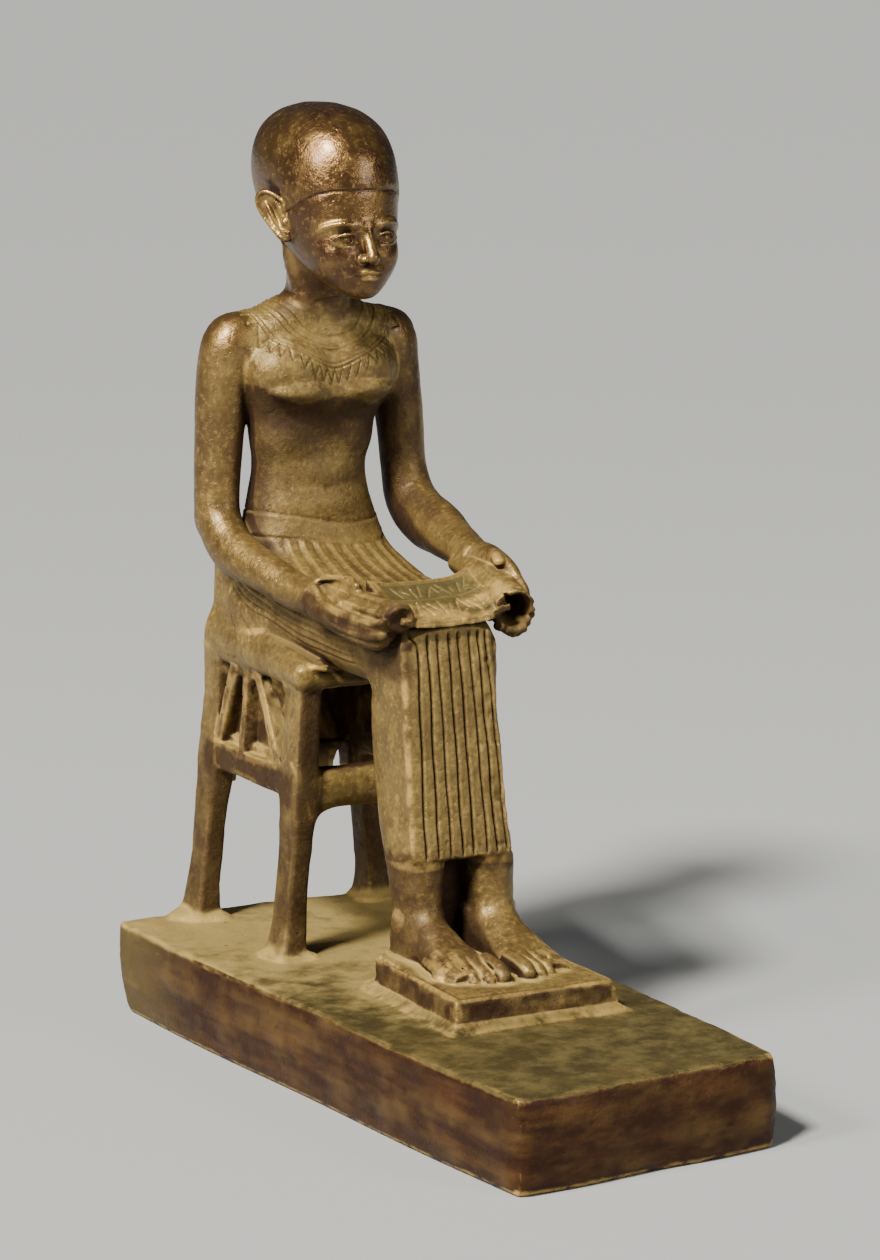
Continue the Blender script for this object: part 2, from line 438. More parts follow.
def head():
    f = Field((-14, 20.5, 104), (14, 58, 137))
    f.add(upright([
        [CHIN + 0.1, 0, 29.2, 1.9, 1.9, 2], [CHIN + 1.0, 0, 29.9, 3.6, 3.4, 2.1], [110.6, 0, 31.6, 5.5, 5.5, 2.2], [113.4, 0, 34.3, 6.9, 8.0, 2.3],
        [116.6, 0, 36.9, 8.0, 10.5, 2.35], [120.2, 0, 38.9, 8.8, 12.4, 2.3], [124.2, 0, 40.2, 9.2, 13.4, 2.2], [128.0, 0, 40.8, 8.9, 13.1, 2.1],
        [131.2, 0, 41.2, 7.6, 11.3, 2.05], [133.4, 0, 41.5, 5.2, 8.0, 2], [HEAD_TOP - 0.2, 0, 41.6, 2.2, 3.6, 2]]), 0.4)
    # the lower face and the cheeks
    f.ball((0, 28.7, 109.0), (2.2, 2.2, 1.7), 1.2)
    for s in (-1, 1):
        f.ball((s * 3.5, 30.0, 113.5), (2.6, 3.2, 2.8), 1.5)
    # eyes by thirds: cap edge to brow, brow to nose base, nose base to chin
    third = (CAP_EDGE - CHIN) / 3
    brow, base = CAP_EDGE - third, CHIN + third
    mouth = base - third / 3
    eye = brow - 1.5
    for s in (-1, 1):
        f.dent((s * 3.4, 24.9, eye + 0.1), (2.7, 2.3, 1.6), 1.0)
    f.tube([(0, 27.0, brow + 0.5), (0, 26.15, eye + 0.2), (0, 25.3, base + 1.9), (0, 24.8, base + 0.95)], [0.85, 0.72, 0.85, 0.95], 0.8)
    for s in (-1, 1):
        f.ball((s * 3.35, 28.7, eye), (2.0, 1.95, 1.2), 0.15)
        f.tube([(s * 1.45, 27.2, eye - 0.25), (s * 2.2, 26.75, eye + 0.62), (s * 3.3, 26.5, eye + 0.92), (s * 4.4, 26.85, eye + 0.66), (s * 5.5, 27.9, eye - 0.05)],
               [0.12, 0.19, 0.22, 0.19, 0.12], 0.15)
        f.tube([(s * 1.5, 27.2, eye - 0.35), (s * 2.4, 26.9, eye - 0.8), (s * 3.35, 26.8, eye - 0.92), (s * 4.4, 27.15, eye - 0.66), (s * 5.4, 27.9, eye - 0.15)],
               [0.1, 0.14, 0.16, 0.14, 0.1], 0.2)
        f.tube([(s * 1.4, 26.95, brow + 0.2), (s * 2.5, 26.65, brow + 0.7), (s * 4.0, 27.0, brow + 0.9), (s * 5.6, 28.4, brow + 0.45), (s * 6.4, 29.7, brow - 0.1)],
               [0.14, 0.22, 0.24, 0.2, 0.12], 0.8)
        f.ball((s * 1.15, 27.7, brow + 0.35), (1.1, 0.9, 0.9), 0.9)
        f.ball((s * 1.02, 26.05, base + 0.65), (0.6, 0.9, 0.55), 0.45)
    f.groove([(0, 25.95, base - 0.4), (0, 25.8, mouth + 0.9)], [0.1, 0.13], 0.35)
    # lips
    f.ball((0, 28.0, mouth - 0.05), (3.0, 1.95, 1.8), 1.2)
    f.tube([(-2.3, 26.6, mouth + 0.16), (-1.3, 26.05, mouth + 0.34), (-0.45, 25.76, mouth + 0.5), (0, 25.8, mouth + 0.42), (0.45, 25.76, mouth + 0.5),
            (1.3, 26.05, mouth + 0.34), (2.3, 26.6, mouth + 0.16)], [0.08, 0.23, 0.29, 0.27, 0.29, 0.23, 0.08], 0.25)
    f.tube([(-1.9, 26.4, mouth - 0.14), (-1.0, 25.98, mouth - 0.45), (0, 25.78, mouth - 0.56), (1.0, 25.98, mouth - 0.45), (1.9, 26.4, mouth - 0.14)],
           [0.08, 0.27, 0.33, 0.27, 0.08], 0.25)
    f.groove([(-2.4, 26.4, mouth + 0.2), (-1.2, 25.78, mouth), (0, 25.46, mouth - 0.03), (1.2, 25.78, mouth), (2.4, 26.4, mouth + 0.2)],
             [0.05, 0.1, 0.12, 0.1, 0.05], 0.12)
    # ears: leaf-shaped shells that stand out and lean back, hollowed in front
    for s in (-1, 1):
        side = np.array([s * 0.62, 0.785, 0.0])
        tall = np.array([0.0, 0.0, 1.0])
        n = np.array([s * 0.785, -0.62, 0.0])
        c = np.array([s * 9.55, 37.2, 119.0])
        at = lambda a, b, h=0.0: tuple(c + side * a + tall * b + n * h)
        turn = [n, side * 0.84 - tall * 0.545, side * 0.545 + tall * 0.84]
        f.ball(at(0.35, 0.35, -0.15), (0.55, 1.75, 3.75), 0.35, turn)
        f.ball(at(-1.6, -2.6, -0.15), (0.6, 0.9, 1.3), 0.35, turn)
        f.dent(at(0.45, 0.55, 0.75), (0.95, 1.35, 3.0), 0.15, turn)
        f.tube([at(-1.6, 1.9, 0.2), at(-0.2, 2.9, 0.25), at(1.4, 3.45, 0.25), at(2.5, 3.0, 0.25), at(2.75, 2.0, 0.25), at(2.2, 0.5, 0.2), at(0.8, -1.3, 0.2), at(-0.9, -3.1, 0.2),
                at(-1.8, -3.4, 0.15), at(-2.3, -2.4, 0.1)], [0.3, 0.34, 0.36, 0.36, 0.34, 0.3, 0.3, 0.34, 0.36, 0.3], 0.2)
        f.tube([at(-1.6, 1.7, 0.15), at(-1.9, 0.2, 0.1), at(-2.2, -1.6, 0.1)], [0.26, 0.3, 0.3], 0.3)
        f.tube([at(1.5, 1.9, 0.0), at(0.8, 0.8, 0.1), at(0.0, -0.7, 0.1), at(-1.0, -2.0, 0.05)], [0.2, 0.3, 0.3, 0.2], 0.25)
        f.ball(at(-1.7, -0.9, 0.3), (0.4, 0.4, 0.65), 0.3, turn)
    return f


def arms(f):
    f.add(limb([
        [-12.4, 45.5, 100.8, 3.4, 3.6], [-13.4, 45.8, 97.0, 4.2, 4.2], [-14.2, 46.0, 92.0, 3.9, 3.9], [-14.7, 45.9, 86.0, 3.6, 3.7],
        [-15.1, 45.8, 80.0, 3.4, 3.5], [-15.3, 45.2, 74.6, 3.3, 3.5], [-15.1, 42.2, 70.8, 3.2, 3.7], [-14.5, 37.8, 68.9, 3.1, 3.3],
        [-13.3, 32.4, 67.3, 2.9, 3.0], [-12.0, 27.0, 65.8, 2.7, 2.7], [-11.0, 22.0, 65.1, 2.6, 2.4]], 48, 6), 1.0)
    f.add(limb([
        [12.2, 44.6, 100.6, 3.4, 3.6], [13.0, 44.3, 96.6, 4.1, 4.1], [13.7, 44.0, 91.6, 3.8, 3.8], [14.3, 43.8, 86.0, 3.5, 3.6],
        [14.7, 43.6, 80.5, 3.4, 3.5], [15.3, 42.6, 75.6, 3.6, 4.2], [15.5, 38.6, 72.9, 3.5, 4.5], [15.1, 32.6, 72.0, 3.5, 4.1],
        [14.2, 26.6, 71.1, 3.1, 3.4], [13.2, 20.8, 70.4, 2.8, 2.9], [12.5, 16.0, 69.8, 2.6, 2.6]], 48, 6), 1.0)
    # shoulders, and the points of the elbows
    f.ball((-13.0, 45.6, 99.2), (4.0, 4.2, 4.0), 1.4).ball((12.8, 44.5, 98.9), (4.0, 4.2, 4.0), 1.4)
    f.ball((-15.9, 46.6, 73.6), (1.9, 1.8, 2.2), 1.6).ball((15.8, 44.6, 73.8), (1.9, 1.9, 2.2), 1.6)


def right_hand():
    f = Field((-16, -6, 57), (-3, 31, 73))
    # the roll lies in the cupped hand; its end is rough
    f.add(limb([[-9.7, 20.0, 65.8, 1.5, 1.2], [-9.2, 15.0, 65.8, 1.9, 1.7], [-8.7, 8.0, 65.7, 2.1, 1.95], [-8.6, 3.0, 65.6, 2.3, 2.15], [-8.6, 0.9, 65.4, 2.4, 2.3], [-8.8, 0.1, 65.1, 1.9, 1.8]], 40, 6), 0.5)
    f.add(limb([[-11.6, 27, 65.7, 2.5, 2.5], [-11.3, 22.5, 65.2, 2.5, 2.2], [-11.0, 18, 64.0, 2.7, 2.2], [-10.7, 13.0, 63.4, 2.6, 1.9], [-10.3, 8.0, 63.2, 2.4, 1.8], [-9.9, 4.0, 63.3, 2.2, 1.8],
                [-9.6, 2.2, 63.4, 1.7, 1.5]], 40, 6), 0.8)
    fingers = [
        [(-11.9, 19.0, 65.6), (-12.2, 15.5, 64.5), (-12.1, 10.0, 64.0), (-11.6, 5.0, 63.9), (-10.9, 2.2, 64.3)],
        [(-12.3, 17.5, 64.4), (-12.5, 12.5, 63.3), (-12.2, 7.6, 62.8), (-11.5, 3.6, 62.7), (-10.7, 1.7, 63.0)],
        [(-12.0, 16.5, 63.3), (-12.0, 11.5, 62.3), (-11.6, 7.0, 61.8), (-10.8, 3.6, 61.7), (-10.0, 2.4, 62.0)],
        [(-11.2, 15.5, 62.4), (-11.0, 11.0, 61.5), (-10.5, 7.4, 61.2), (-9.8, 4.8, 61.2), (-9.1, 3.9, 61.6)]]
    for i, q in enumerate(fingers):
        r = 0.92 - 0.04 * i
        f.tube(q, [r, r * 1.02, r, r * 0.98, r * 0.8], 0.3)
    for i in range(3):
        a, b = fingers[i], fingers[i + 1]
        f.groove([tuple((np.array(a[j]) + np.array(b[j])) / 2 + np.array([-1.0, 0, -0.2])) for j in (1, 2, 3)], [0.1, 0.16, 0.18], 0.25)
    f.tube([(-11.2, 24.5, 66.2), (-10.2, 21.0, 67.2), (-9.3, 17.5, 67.9), (-8.9, 14.6, 67.9), (-8.8, 13.1, 67.7)], [1.6, 1.35, 1.1, 0.95, 0.75], 0.6)
    # hollow of the palm, between the thumb's edge and the finger ends
    f.groove([(-11.1, 19.9, 68.0), (-10.9, 15.8, 67.75), (-10.8, 12.1, 67.4), (-10.6, 7.5, 67.2), (-10.4, 4.4, 67.1)], [1.1, 1.3, 1.3, 1.15, 0.8], 0.35)
    f.tube([(-12.1, 20.2, 67.1), (-11.6, 21.5, 67.4), (-10.9, 21.4, 67.9), (-10.1, 19.4, 68.5), (-9.6, 16.6, 69.0), (-9.3, 14.5, 68.8), (-9.1, 12.8, 68.3)], [0.42, 0.42, 0.42, 0.42, 0.45, 0.5, 0.5], 0.3)
    f.tube([(-12.1, 20.2, 67.1), (-12.2, 19.2, 66.8), (-12.3, 18.0, 66.05), (-12.4, 15.8, 65.35), (-12.4, 12.7, 64.95), (-12.3, 8.6, 64.8), (-12.1, 5.6, 64.7), (-11.8, 2.5, 64.75), (-11.3, 1.0, 65.1)],
           [0.42, 0.42, 0.42, 0.42, 0.45, 0.48, 0.5, 0.55, 0.6], 0.25)
    # the break in the thumb's edge, and the knob at the roll's end
    f.groove([(-9.6, 12.0, 68.5), (-8.2, 11.6, 68.5)], [0.28, 0.28], 0.2)
    f.ball((-9.3, 2.3, 67.2), (1.0, 1.4, 0.8), 0.5)
    for x, z, r in ((-8.7, 65.4, 1.5), (-7.8, 64.3, 1.0), (-9.7, 64.6, 0.8)):
        f.dent((x, -0.4, z), (r, 1.1, r), 0.5)
    return f


def left_hand():
    f = Field((3, -5, 57), (20, 30, 76))
    # the flaring scroll
    scroll = Field((3, -5, 57), (20, 30, 76))
    scroll.add(limb([[11.6, 21.4, 69.0, 0.7, 0.6], [11.6, 20.2, 69.0, 1.9, 1.4], [11.5, 17.0, 68.8, 2.4, 2.1], [11.3, 12.0, 67.9, 2.7, 2.5], [10.9, 7.0, 66.7, 2.85, 2.75],
                     [10.4, 3.0, 65.5, 3.0, 3.05], [10.1, 0.9, 64.9, 3.1, 3.25]], 48, 6), 0.3)
    # ragged metal along the lower rim
    for x, y, z, r in ((8.2, 2.0, 62.7, 0.9), (9.4, 1.5, 61.9, 0.9), (10.6, 2.1, 61.6, 1.0), (11.6, 1.6, 62.2, 0.8), (12.4, 2.6, 62.8, 1.0), (13.1, 2.2, 64.0, 0.8)):
        scroll.ball((x, y, z), (r, r * 1.2, r * 0.8), 0.5)
    scroll.cut(limb([[11.1, 8.0, 66.9, 0.7, 0.7], [10.7, 5.0, 66.0, 1.6, 1.7], [10.25, 1.8, 65.1, 2.3, 2.4], [10.0, -3.0, 64.3, 2.6, 2.7]], 40, 5), 0.35)
    for x, y, z, r in ((7.3, 0.4, 62.8, 0.8), (8.9, 0.6, 61.3, 0.6), (10.8, 0.5, 61.0, 0.7), (12.8, 0.6, 62.3, 0.8), (13.3, 0.5, 65.6, 0.5), (12.0, 0.2, 67.6, 0.5), (8.6, 0.3, 67.2, 0.4), (13.0, 0.3, 64.0, 0.6)):
        scroll.dent((x, y, z), (r, 1.5, r), 0.25)
    f.merge(scroll, 0.1)
    # back of the hand, fingers folded under the scroll, thumb over it
    f.add(limb([[12.6, 19.5, 70.3, 2.4, 2.4], [12.7, 15.0, 70.4, 2.1, 2.1], [12.8, 11.0, 69.9, 1.7, 2.2], [13.0, 7.6, 68.7, 1.25, 2.1], [13.0, 5.6, 67.6, 0.95, 1.6]], 40, 6), 0.6)
    for i in range(4):
        y = 12.0 - 2.2 * i
        f.tube([(13.1, y, 69.2 - 0.4 * i), (13.6, y - 0.4, 67.0 - 0.1 * i), (13.3, y - 0.9, 64.8), (12.3, y - 1.3, 63.1), (11.3, y - 1.4, 62.6)],
               [0.95, 1.05, 1.02, 0.98, 0.8], 0.3)
    f.tube([(12.9, 17.0, 71.0), (12.6, 13.0, 71.5), (11.9, 9.6, 71.4), (11.3, 7.9, 70.8)], [1.25, 1.1, 0.9, 0.75], 0.6)
    f.ball((11.35, 8.0, 71.0), (0.85, 1.0, 0.5), 0.3)
    return f


def sheet():
    rows = [(13.4, 68.3, 0.8, 3.6), (12.9, 68.55, 0.8, 3.6), (12.3, 68.4, 0.75, 3.4), (9.5, 67.5, 0.5, 2.4), (6.0, 66.5, 0.2, 1.8), (3.0, 65.6, 0.1, 1.3), (0.9, 64.9, 0.0, 0.9), (0.2, 64.75, 0.0, 0.8)]
    rings = []
    for y, z, dx, thick in rows:
        t = np.linspace(0, 1, 30)
        up = 1.2 * np.exp(-((1 - t) / 0.14) ** 2) + 0.5 * np.exp(-(t / 0.1) ** 2) - 0.25 * np.sin(np.pi * t)
        x = -8.4 + dx + 17.6 * t
        yy = y + 1.1 * (t - 0.5)
        top = np.stack([x, yy, z + up], 1)
        low = np.stack([x, yy, z + up - thick], 1)[::-1]
        rings.append(np.concatenate([top, low]))
    return skin(rings)


def lap(f):
    f.add(limb([
        [0, 46.0, 62.5, 12.0, 7.2, 2.8], [0, 39.0, 62.6, 12.2, 8.2, 2.7], [0, 34.0, 61.9, 11.9, 7.8, 2.8], [0, 27.0, 61.1, 11.2, 7.1, 2.9],
        [0, 18.0, 60.5, 10.1, 6.8, 3.0], [0, 10.0, 59.6, 9.1, 6.4, 3.1], [0, 4.6, 59.0, 8.2, 5.9, 3.1], [0, 1.6, 58.6, 7.3, 4.8, 3.1]], 96, 6), 1.8)
    # the hips settle on the seat
    for s in (-1, 1):
        f.ball((s * 9.2 - 0.3, 44.5, 58.6), (4.0, 8.0, 5.6), 1.8)


def robe(f):
    f.add(upright([
        [HEM - 0.1, -0.2, 3.6, 7.3, 4.9, 2.8], [32.0, -0.1, 3.9, 7.9, 5.7, 3.0], [34, 0, 4.4, 8.2, 6.1, 3.0], [38.5, 0, 5.2, 8.4, 6.7, 3.0], [44, 0, 5.9, 8.5, 7.1, 3.0], [50, 0, 6.4, 8.5, 7.0, 3.0],
        [56, 0, 6.6, 8.5, 6.4, 3.0], [60.5, 0, 6.4, 8.3, 5.2, 3.0]], 96, 6), 1.6)
    rings = []
    for z, g in ((HEM - 0.3, 0.3), (HEM + 0.1, 0.05), (34, 0), (40, 0), (46, 0), (52, 0), (58, 0.1), (61.6, 0.25), (PANEL_TOP, 0.8), (PANEL_TOP + 0.3, 1.4)):
        t = (z - HEM) / (PANEL_TOP - HEM)
        y = -2.6 + 3.9 * t + (0.9 if g > 0.7 else 0.3 if g > 0.2 else 0)
        h = 8.2 - g - 0.1 * t
        r = 7.5 - g - 1.15 * t
        ring = []
        for x in np.linspace(-h, r, 60):
            e = min(x + h, r - x)
            ring.append((x, y + 0.35 * math.exp(-(e / 0.45)) - 0.25 * math.cos(x / 8.5), z))
        ring += [(r, y + 4, z), (-h, y + 4, z)]
        rings.append(ring)
    f.add(skin(rings), 0.35)


def feet(f):
    top = REST_TOP
    f.add(box(-3.9, 3.9, 1.9, 4.8, top - 0.5, HEM + 3), 1.0)
    for s in (-1, 1):
        g = Field((-13, -22, 12), (14, 12, 37))
        x, w = s * 5.6, (0.5 if s > 0 else 0.1)
        g.add(upright([
            [top - 0.6, x, 0.8, 3.2 + w, 4.5, 2.2], [top + 0.6, x, 0.7, 3.45 + w, 4.9, 2.2], [top + 2.4, x, 0.8, 3.3 + w, 5.0, 2.15], [top + 5, x, 0.9, 3.0 + w, 4.7, 2.1],
            [top + 7.6, x, 1.1, 3.05 + w, 4.3, 2.1], [top + 10, x, 1.5, 3.3 + w, 4.5, 2.1], [HEM - 1, x * 0.98, 2.0, 3.5 + w, 4.8, 2.1]], 64, 6), 0.4)
        f.add(upright([[HEM - 5, x, 1.4, 2.5 + w, 3.6, 2.1], [HEM - 3, x * 0.99, 1.8, 3.1 + w, 4.4, 2.1], [HEM - 1, x * 0.97, 2.4, 3.6 + w, 4.9, 2.1], [HEM + 2, x * 0.94, 3.0, 3.75 + w, 5.2, 2.1], [HEM + 6, x * 0.86, 4.4, 3.7, 5.2, 2.1], [HEM + 10, x * 0.72, 5.2, 3.2, 4.4, 2.0]], 64, 6), 1.4)
        g.add(limb([
            [x, 3.0, top + 4.0, 2.9 + w, 4.3, 2.2], [x * 0.99, -1.0, top + 3.5, 3.0 + w, 4.0, 2.1], [x * 0.98, -4.5, top + 2.6, 3.2 + w, 3.3, 2.1], [x * 0.97, -8.0, top + 1.7, 3.6 + w, 2.5, 2.2],
            [x * 0.95, -11.4, top + 1.1, 3.95 + w, 1.85, 2.3], [x * 0.94, -14.0, top + 0.8, 4.0 + w, 1.45, 2.4], [x * 0.92, -15.8, top + 0.6, 3.5 + w, 1.1, 2.4]], 48, 6), 1.3)
        # ankle bones
        g.ball((x - 3.0 - w * 0.6, 1.0, top + 5.6), (0.9, 1.2, 1.2), 1.0).ball((x + 3.0 + w * 0.6, 0.6, top + 5.9), (0.9, 1.2, 1.2), 1.0)
        for t in range(5):
            r = 1.25 if t == 0 else 0.98 - 0.05 * t
            tx = s * (1.95 + (0 if t == 0 else 0.45) + t * 1.72)
            y1 = -18.3 + 0.27 * t * t
            q = [(tx * 0.96, y1 + 6.2, top + r + 0.75), (tx * 0.98, y1 + 3.6, top + r + 0.55), (tx, y1 + 1.8, top + r + 0.15), (tx, y1 + 0.75, top + r - 0.35)]
            g.tube(q, [r * 0.85, r * 0.92, r, r * 0.9], 0.32)
        for t in range(4):
            tx = s * (1.95 + (0 if t == 0 else 0.45) + t * 1.72)
            tn = s * (1.95 + 0.45 + (t + 1) * 1.72)
            m_ = (tx + tn) / 2 + (s * 0.12 if t == 0 else 0)
            y1 = -18.3 + 0.27 * (t + 0.5) ** 2
            g.groove([(m_ * 0.97, y1 + 5.8, top + 2.75), (m_ * 0.99, y1 + 3.4, top + 2.0), (m_, y1 + 1.8, top + 1.75)], [0.1, 0.16, 0.15], 0.4)
        f.merge(g, 0.8)


def build():
    f = Field((-30.0, -58.8, -1.6), (23.8, 60.4, 136.4))
    f.add(plinth(), 0.4)
    # a bright worn break and a few dents along its upper edges
    f.dent((-27.4, 35.0, 12.7), (1.1, 4.6, 0.8), 0.5)
    for c, r in (((-26.6, 52.5, 12.9), (1.7, 2.2, 1.2)), ((20.9, -56.4, 12.9), (1.5, 1.3, 1.3)), ((22.6, -55.0, 7.5), (0.9, 1.4, 1.6)), ((-22.3, -55.6, 10.0), (0.75, 0.75, 0.55)),
                 ((-22.4, -55.6, 2.6), (0.6, 0.7, 1.2)), ((-25.9, 8, 13.1), (0.9, 2.2, 0.6)), ((-24.2, -20, 13.15), (0.8, 1.4, 0.5)), ((22.9, 12, 13.0), (1.0, 3.0, 0.7)),
                 ((-3.0, 57.6, 13.0), (5.0, 1.0, 0.7)), ((-5.0, -57.4, 13.2), (3.0, 0.9, 0.6)), ((9.0, -57.0, 13.2), (2.2, 0.8, 0.55))):
        f.dent(c, r, 0.5)
    f.add(footrest(), 2.0)
    f.dent((-12.6, 4.2, 16.6), (1.6, 1.8, 1.2), 0.6)
    f.dent((12.9, -23.6, 16.4), (1.0, 1.0, 1.3), 0.5)
    note("plinth, footrest")
    c = Field((-19.5, 17, 9), (19.5, 59, 71))
    chair(c)
    note("chair")
    b = Field((-20.5, -6, 28), (20.5, 56, 136.2))
    torso(b)
    lap(b)
    robe(b)
    arms(b)
    neck(b)
    note("torso, lap, robe, arms, neck")
    b.merge(head(), 0.9)
    note("head")
    f.merge(c, 1.3)
    f.merge(b, 0.9)
    f.add(sheet(), 0.25)
    f.merge(right_hand(), 0.35)
    f.merge(left_hand(), 0.35)
    note("hands")
    feet(f)
    # webs of metal where the legs stand
    for x, y, r in ((-15.9, 25.6, 1.4), (-12.2, 22.8, 1.0), (-13.0, 28.6, 1.2), (-17.4, 53.4, 1.8), (-13.6, 50.2, 1.3), (15.7, 25.5, 1.6), (15.4, 51.8, 2.2), (12.0, 50.0, 1.2)):
        f.ball((x, y, PLINTH_TOP), (r * 1.5, r * 1.5, r * 0.7), 0.9)
    note("feet")
    return f


# --------------------------------------------------------- sampling, noise

def sample(f, P):
    q = P / H - f.i0
    q = np.clip(q, 0, np.array(f.d.shape) - 1.001)
    i = q.astype(np.int64)
    t = (q - i).astype(np.float32)
    sx, sy = f.d.shape[1] * f.d.shape[2], f.d.shape[2]
    flat = f.d.reshape(-1)
    base = i[:, 0] * sx + i[:, 1] * sy + i[:, 2]
    out = 0
    for dx in (0, 1):
        wx = t[:, 0] if dx else 1 - t[:, 0]
        for dy in (0, 1):
            wy = t[:, 1] if dy else 1 - t[:, 1]
            for dz in (0, 1):
                wz = t[:, 2] if dz else 1 - t[:, 2]
                out = out + wx * wy * wz * flat[base + dx * sx + dy * sy + dz]
    return out


def gradient(f, P, e=0.25):
    g = np.stack([sample(f, P + e * a) - sample(f, P - e * a) for a in np.eye(3)], 1)
    return g / (np.linalg.norm(g, axis=1, keepdims=True) + 1e-9)


def noise(P, size, seed=0):
    """smooth lattice noise, about -1 to 1; size may be one per axis"""
    q = P / np.asarray(size, float) + 57.3 + 13.7 * seed
    i = np.floor(q).astype(np.int64)
    t = q - i
    t = t * t * (3 - 2 * t)
    out = np.zeros(len(P))
    for dx in (0, 1):
        for dy in (0, 1):
            for dz in (0, 1):
                n = (i[:, 0] + dx) * 374761393 + (i[:, 1] + dy) * 668265263 + (i[:, 2] + dz) * 2147483647 + seed * 974711
                n = (n ^ (n >> 13)) * 1274126177
                n = (n ^ (n >> 16)) & 0xFFFFF
                w = (t[:, 0] if dx else 1 - t[:, 0]) * (t[:, 1] if dy else 1 - t[:, 1]) * (t[:, 2] if dz else 1 - t[:, 2])
                out += w * n
    return out / 0xFFFFF * 2 - 1


def step(x, a, b):
    t = np.clip((x - a) / (b - a), 0, 1)
    return t * t * (3 - 2 * t)


def within(x, a, b, soft):
    return step(x, a - soft, a + soft) * (1 - step(x, b - soft, b + soft))


def line(d, w):
    return np.exp(-(d / w) ** 2)


def to_segment(x, y, a, b):
    dx, dy = b[0] - a[0], b[1] - a[1]
    t = np.clip(((x - a[0]) * dx + (y - a[1]) * dy) / (dx * dx + dy * dy), 0, 1)
    return np.hypot(x - a[0] - t * dx, y - a[1] - t * dy)


# ------------------------------------------------------------ finer relief

PANEL_LINES = [(-5.5, -6.2), (-3.9, -4.1), (-2.4, -2.1), (-0.6, -0.2), (1.0, 1.6), (2.7, 3.7), (4.1, 5.2), (5.4, 6.9)]
FOLDS = [61.2, 60.1, 59.0, 58.0, 57.0]


def cap_edge(P):
    """height of the cap's edge above or below each point, round the head"""
    a = np.degrees(np.arctan2(np.abs(P[:, 0]), -(P[:, 1] - 38.5)))
    z = np.interp(a, [0, 25, 38, 50, 62, 74, 84, 94, 106, 118, 135, 160, 180],
                  [123.2, 123.1, 122.5, 121.4, 120.2, 119.4, 119.6, 121.0, 116.5, 113.4, 111.2, 109.6, 109.2])
    return P[:, 2] - z


